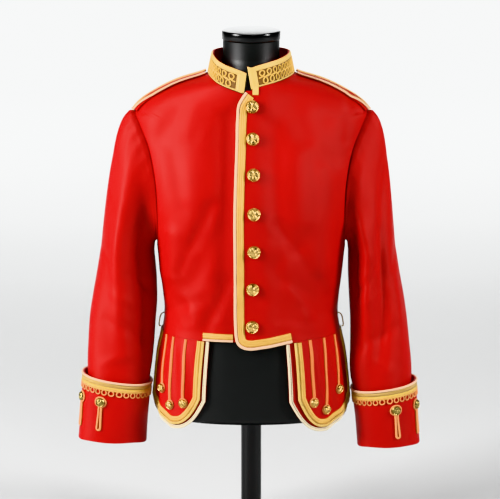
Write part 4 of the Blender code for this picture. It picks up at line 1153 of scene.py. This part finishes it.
class Looks:
    """A material's node tree, with short ways to add to it."""

    def __init__(self, name, colour, roughness, metallic=0.0, sheen=0.0):
        self.material = bpy.data.materials.new(name)
        self.material.use_nodes = True
        self.tree = self.material.node_tree
        self.shader = self.tree.nodes["Principled BSDF"]
        self.place = self.tree.nodes.new("ShaderNodeTexCoord")
        self.shade(Base_Color=(*colour, 1.0), Roughness=roughness, Metallic=metallic)
        self.shade(Sheen_Weight=sheen, Sheen_Roughness=0.45)

    def shade(self, **values):
        """Plain values or sockets on the shader."""
        for key, value in values.items():
            self.put(self.shader.inputs[key.replace("_", " ")], value)

    def put(self, inlet, value):
        """Link an inlet to a socket, or give it a plain value."""
        if isinstance(value, bpy.types.NodeSocket):
            self.tree.links.new(value, inlet)
        else:
            inlet.default_value = value

    def add(self, kind, **values):
        node = self.tree.nodes.new(kind)
        for key, value in values.items():
            self.put(node.inputs[key], value)
        return node

    def maths(self, operation, first, second=0.5):
        node = self.tree.nodes.new("ShaderNodeMath")
        node.operation = operation
        self.put(node.inputs[0], first)
        self.put(node.inputs[1], second)
        return node.outputs[0]

    def total(self, *terms):
        """The sum of sockets, of (socket, weight) pairs and of numbers."""
        terms = [self.maths("MULTIPLY", *term) if isinstance(term, tuple) else term for term in terms]
        result = terms[0]
        for term in terms[1:]:
            result = self.maths("ADD", result, term)
        return result

    def half_wave(self, turn, operation="SINE"):
        """A wave between 0 and 1."""
        return self.total((self.maths(operation, turn), 0.5), 0.5)

    def noise(self, scale, detail=2.0):
        place = self.place.outputs["Object"]
        return self.add("ShaderNodeTexNoise", Vector=place, Scale=scale, Detail=detail).outputs["Fac"]

    def axes(self, kind):
        """X, Y and Z of a kind of coordinate."""
        return self.add("ShaderNodeSeparateXYZ", Vector=self.place.outputs[kind]).outputs

    def colour(self, share, first, second):
        """The base colour, mixed from two by the share."""
        node = self.tree.nodes.new("ShaderNodeMix")
        node.data_type = "RGBA"
        for index, value in ((0, share), (6, (*first, 1.0)), (7, (*second, 1.0))):
            self.put(node.inputs[index], value)
        self.shade(Base_Color=node.outputs[2])

    def bump(self, height, distance, strength):
        node = self.add("ShaderNodeBump", Height=height, Strength=strength, Distance=distance)
        self.shade(Normal=node.outputs[0])


def wool(name, light, dark):
    """Fulled wool: a short nap over a fine twill, a little uneven in colour."""
    looks = Looks(name, light, 0.70, sheen=0.06)
    looks.shade(Sheen_Tint=(1.0, 0.30, 0.26, 1.0))
    looks.shade(Specular_IOR_Level=0.40, Specular_Tint=(1.0, 0.46, 0.42, 1.0))
    broad, nap, grain = looks.noise(9.0, 3.0), looks.noise(620.0, 4.0), looks.noise(1900.0, 2.0)
    place = looks.place.outputs["Object"]
    wave = looks.add("ShaderNodeTexWave", Vector=place, Scale=520.0, Distortion=1.2)
    wave.bands_direction = "DIAGONAL"
    looks.colour(looks.total((broad, 0.7), (nap, 0.55), -0.12), dark, light)
    looks.bump(looks.total((nap, 0.7), (grain, 0.4), (wave.outputs["Fac"], 0.30)), 0.00045, 0.8)
    looks.shade(Roughness=looks.total((nap, 0.12), 0.44))
    return looks.material


def braid(name, light, dark, metallic, step=0.0019, width=0.0042, rough=0.42):
    """Flat braid: rows of slanting threads that meet in chevrons along the band."""
    looks = Looks(name, light, rough, metallic, 0.15)
    along, across, _ = looks.axes("UV")
    zig = looks.maths("PINGPONG", across, width / 2)
    turn = looks.maths("MULTIPLY", looks.total(along, zig), 2 * math.pi / step)
    thread = looks.half_wave(turn)
    seam = looks.half_wave(looks.maths("MULTIPLY", across, 4 * math.pi / width), "COSINE")
    speck, broad = looks.noise(800.0, 3.0), looks.noise(40.0, 2.0)
    looks.colour(looks.total((thread, 0.5), (speck, 0.5), (broad, 0.5), -0.25), dark, light)
    looks.bump(looks.total((thread, 0.7), (seam, 0.4), (speck, 0.35)), 0.00035, 0.9)
    looks.shade(Roughness=looks.total((speck, 0.25), rough - 0.10))
    return looks.material


def twist(name, light, dark, metallic, step=0.0026, rough=0.45):
    """Twisted cord: strands that run slanting round it."""
    looks = Looks(name, light, rough, metallic, 0.2)
    along, across, _ = looks.axes("UV")
    turn = looks.total((along, 2 * math.pi / step), (across, 4 * math.pi))
    strand, speck = looks.half_wave(turn), looks.noise(900.0, 2.0)
    looks.colour(looks.total((strand, 0.65), (speck, 0.4)), dark, light)
    looks.bump(looks.total(strand, (speck, 0.3)), 0.0004, 0.9)
    looks.shade(Roughness=looks.total((speck, 0.2), rough - 0.08))
    return looks.material


def metal(name, light, dark):
    looks = Looks(name, light, 0.30, 1.0)
    worn, fleck = looks.noise(160.0, 4.0), looks.noise(700.0, 2.0)
    looks.colour(worn, dark, light)
    looks.shade(Roughness=looks.total((worn, 0.30), 0.14))
    looks.bump(looks.total(worn, (fleck, 0.4)), 0.0002, 0.5)
    return looks.material


def black(name, colour, tint, rough, specular, coat=0.0, scale=500.0, distance=0.0002):
    looks = Looks(name, colour, rough)
    fine_noise, broad = looks.noise(scale, 3.0), looks.noise(14.0, 2.0)
    looks.colour(broad, colour, tint)
    looks.shade(Specular_IOR_Level=specular, Coat_Roughness=0.05)
    if coat:
        plate = looks.maths("GREATER_THAN", looks.axes("Object")["Z"], CAP_TOP - 0.001)
        looks.shade(Coat_Weight=looks.maths("MULTIPLY", plate, coat))
    looks.shade(Roughness=looks.total((broad, 0.10), rough - 0.05))
    looks.bump(fine_noise, distance, 0.5)
    return looks.material


WOOL = wool("red_wool_cloth", (0.375, 0.0014, 0.0007), (0.265, 0.0008, 0.0004))
DARK_WOOL = wool("red_wool_shaded", (0.31, 0.0015, 0.001), (0.22, 0.0009, 0.0006))
GOLD = braid("gold_braid_thread", (0.74, 0.46, 0.11), (0.36, 0.18, 0.03), 0.30)
BRIGHT_GOLD = braid("gold_braid_bright", (0.80, 0.56, 0.12), (0.40, 0.22, 0.03), 0.30, step=0.0016)
DULL_GOLD = braid("gold_braid_dull", (0.52, 0.34, 0.10), (0.26, 0.15, 0.03), 0.25, step=0.0016)
PALE_GOLD = braid("gold_braid_pale", (0.80, 0.58, 0.19), (0.52, 0.32, 0.07), 0.20, step=0.0018)
LOOP_GOLD = twist("gold_loop_cord", (0.80, 0.52, 0.12), (0.42, 0.22, 0.03), 0.25)
# Gold lace ground: gold darkened to brown as painted shade between the collar's loops.
LACE_GOLD_PAINTED_SHADE = braid("gold_lace_ground_painted_shade", (0.22, 0.095, 0.01), (0.10, 0.04, 0.004), 0.15, 0.0012, 0.0024)
PEACH = braid("peach_braid_thread", (0.80, 0.26, 0.07), (0.52, 0.12, 0.03), 0.05, step=0.0015, rough=0.6)
PEACH_CORD = twist("peach_cord_thread", (0.80, 0.35, 0.12), (0.46, 0.15, 0.04), 0.10)
IVORY = twist("ivory_piping_thread", (0.74, 0.66, 0.48), (0.50, 0.42, 0.28), 0.0, step=0.0030, rough=0.65)
CREAM = twist("cream_piping_thread", (0.80, 0.55, 0.36), (0.56, 0.33, 0.19), 0.0, step=0.0030, rough=0.65)
BRASS = metal("brass_polished", (0.74, 0.52, 0.20), (0.34, 0.22, 0.06))
DARK_BRASS = metal("brass_darkened", (0.46, 0.36, 0.13), (0.14, 0.11, 0.035))
FORM_CLOTH = black("form_cover", (0.0036, 0.0040, 0.0038), (0.0056, 0.0062, 0.0058), 0.46, 0.42)
GLOSS = black("form_gloss", (0.0012, 0.0012, 0.0012), (0.002, 0.002, 0.002), 0.20, 0.45, 1.0, 300.0, 0.00002)

left, right = make_fronts()
back = make_back()
pieces = {"front_left": (left, make_front_trims()), "front_right": (right, []), "back": (back, [])}
pieces["collar"] = make_collar()
for arm in ("right", "left"):
    pieces[f"sleeve_{arm}"] = (make_sleeve(arm), [])
    pieces[f"cuff_{arm}"] = make_cuff(arm)
    pieces[f"strap_{arm}"] = make_strap(arm)
    make_hook(arm)
for flap in FLAPS:
    pieces[f"flap_{flap}"] = make_flap(flap)
make_form()


def make_stage():
    """A pale floor that bends up into a backdrop."""
    end, bend, reach = 5.3, 2.2, 9.0
    turn = np.linspace(0, QUARTER, 24)
    line = [(-reach, 0.0), (end, 0.0)] + [(end + bend * math.sin(t), bend - bend * math.cos(t)) for t in turn]
    line = np.array(line + [(end + bend, reach)])
    x = np.array([-reach, reach])
    grid = np.stack(np.broadcast_arrays(x[None], line[:, :1], line[:, 1:]), -1)
    data = bpy.data.meshes.new("floor")
    data.from_pydata(grid.reshape(-1, 3).tolist(), [], quads(len(line), 2).tolist())
    data.shade_smooth()
    colour = (0.52, 0.525, 0.525)
    looks = Looks("floor_pale", colour, 0.7)
    looks.colour(looks.noise(3.0, 2.0), colour, tuple(c * 0.985 for c in colour))
    data.materials.append(looks.material)
    placed("floor", data)


def area_light(name, at, target, size, power):
    light = bpy.data.lights.new(name, "AREA")
    light.shape = "RECTANGLE"
    light.size, light.size_y = size
    light.energy = power
    placed(name, light, at, target)


make_stage()
area_light("key", (-2.9, -1.5, 1.9), (0, 0, 0.6), (1.1, 1.6), 280)
area_light("fill", (2.9, -1.2, 1.9), (0, 0, 0.6), (0.7, 1.4), 158)
area_light("front", (0.6, -3.4, 3.0), (0, 0, 0.6), (0.8, 0.7), 22)
area_light("top", (0.0, 0.3, 3.2), (0, 0, 0.7), (1.6, 1.0), 24)
area_light("backdrop_left", (-2.1, 4.0, 2.7), (-0.5, 6.6, 0.4), (1.3, 1.3), 225)
area_light("backdrop_right", (2.1, 4.0, 2.7), (0.5, 6.6, 0.4), (1.3, 1.3), 225)
world = bpy.data.worlds.new("studio")
world.use_nodes = True
world.node_tree.nodes["Background"].inputs["Color"].default_value = (0.95, 0.97, 1.0, 1.0)
world.node_tree.nodes["Background"].inputs["Strength"].default_value = 0.03
bpy.context.scene.world = world
bpy.context.scene.view_settings.view_transform = "Khronos PBR Neutral"

camera = bpy.data.cameras.new("camera")
camera.lens = 192.0
camera.sensor_width = 36.0
camera.dof.use_dof = False
bpy.context.scene.camera = placed("camera", camera, (-0.0023, -5.067, 1.763), (-0.0023, 0.0, 0.593))
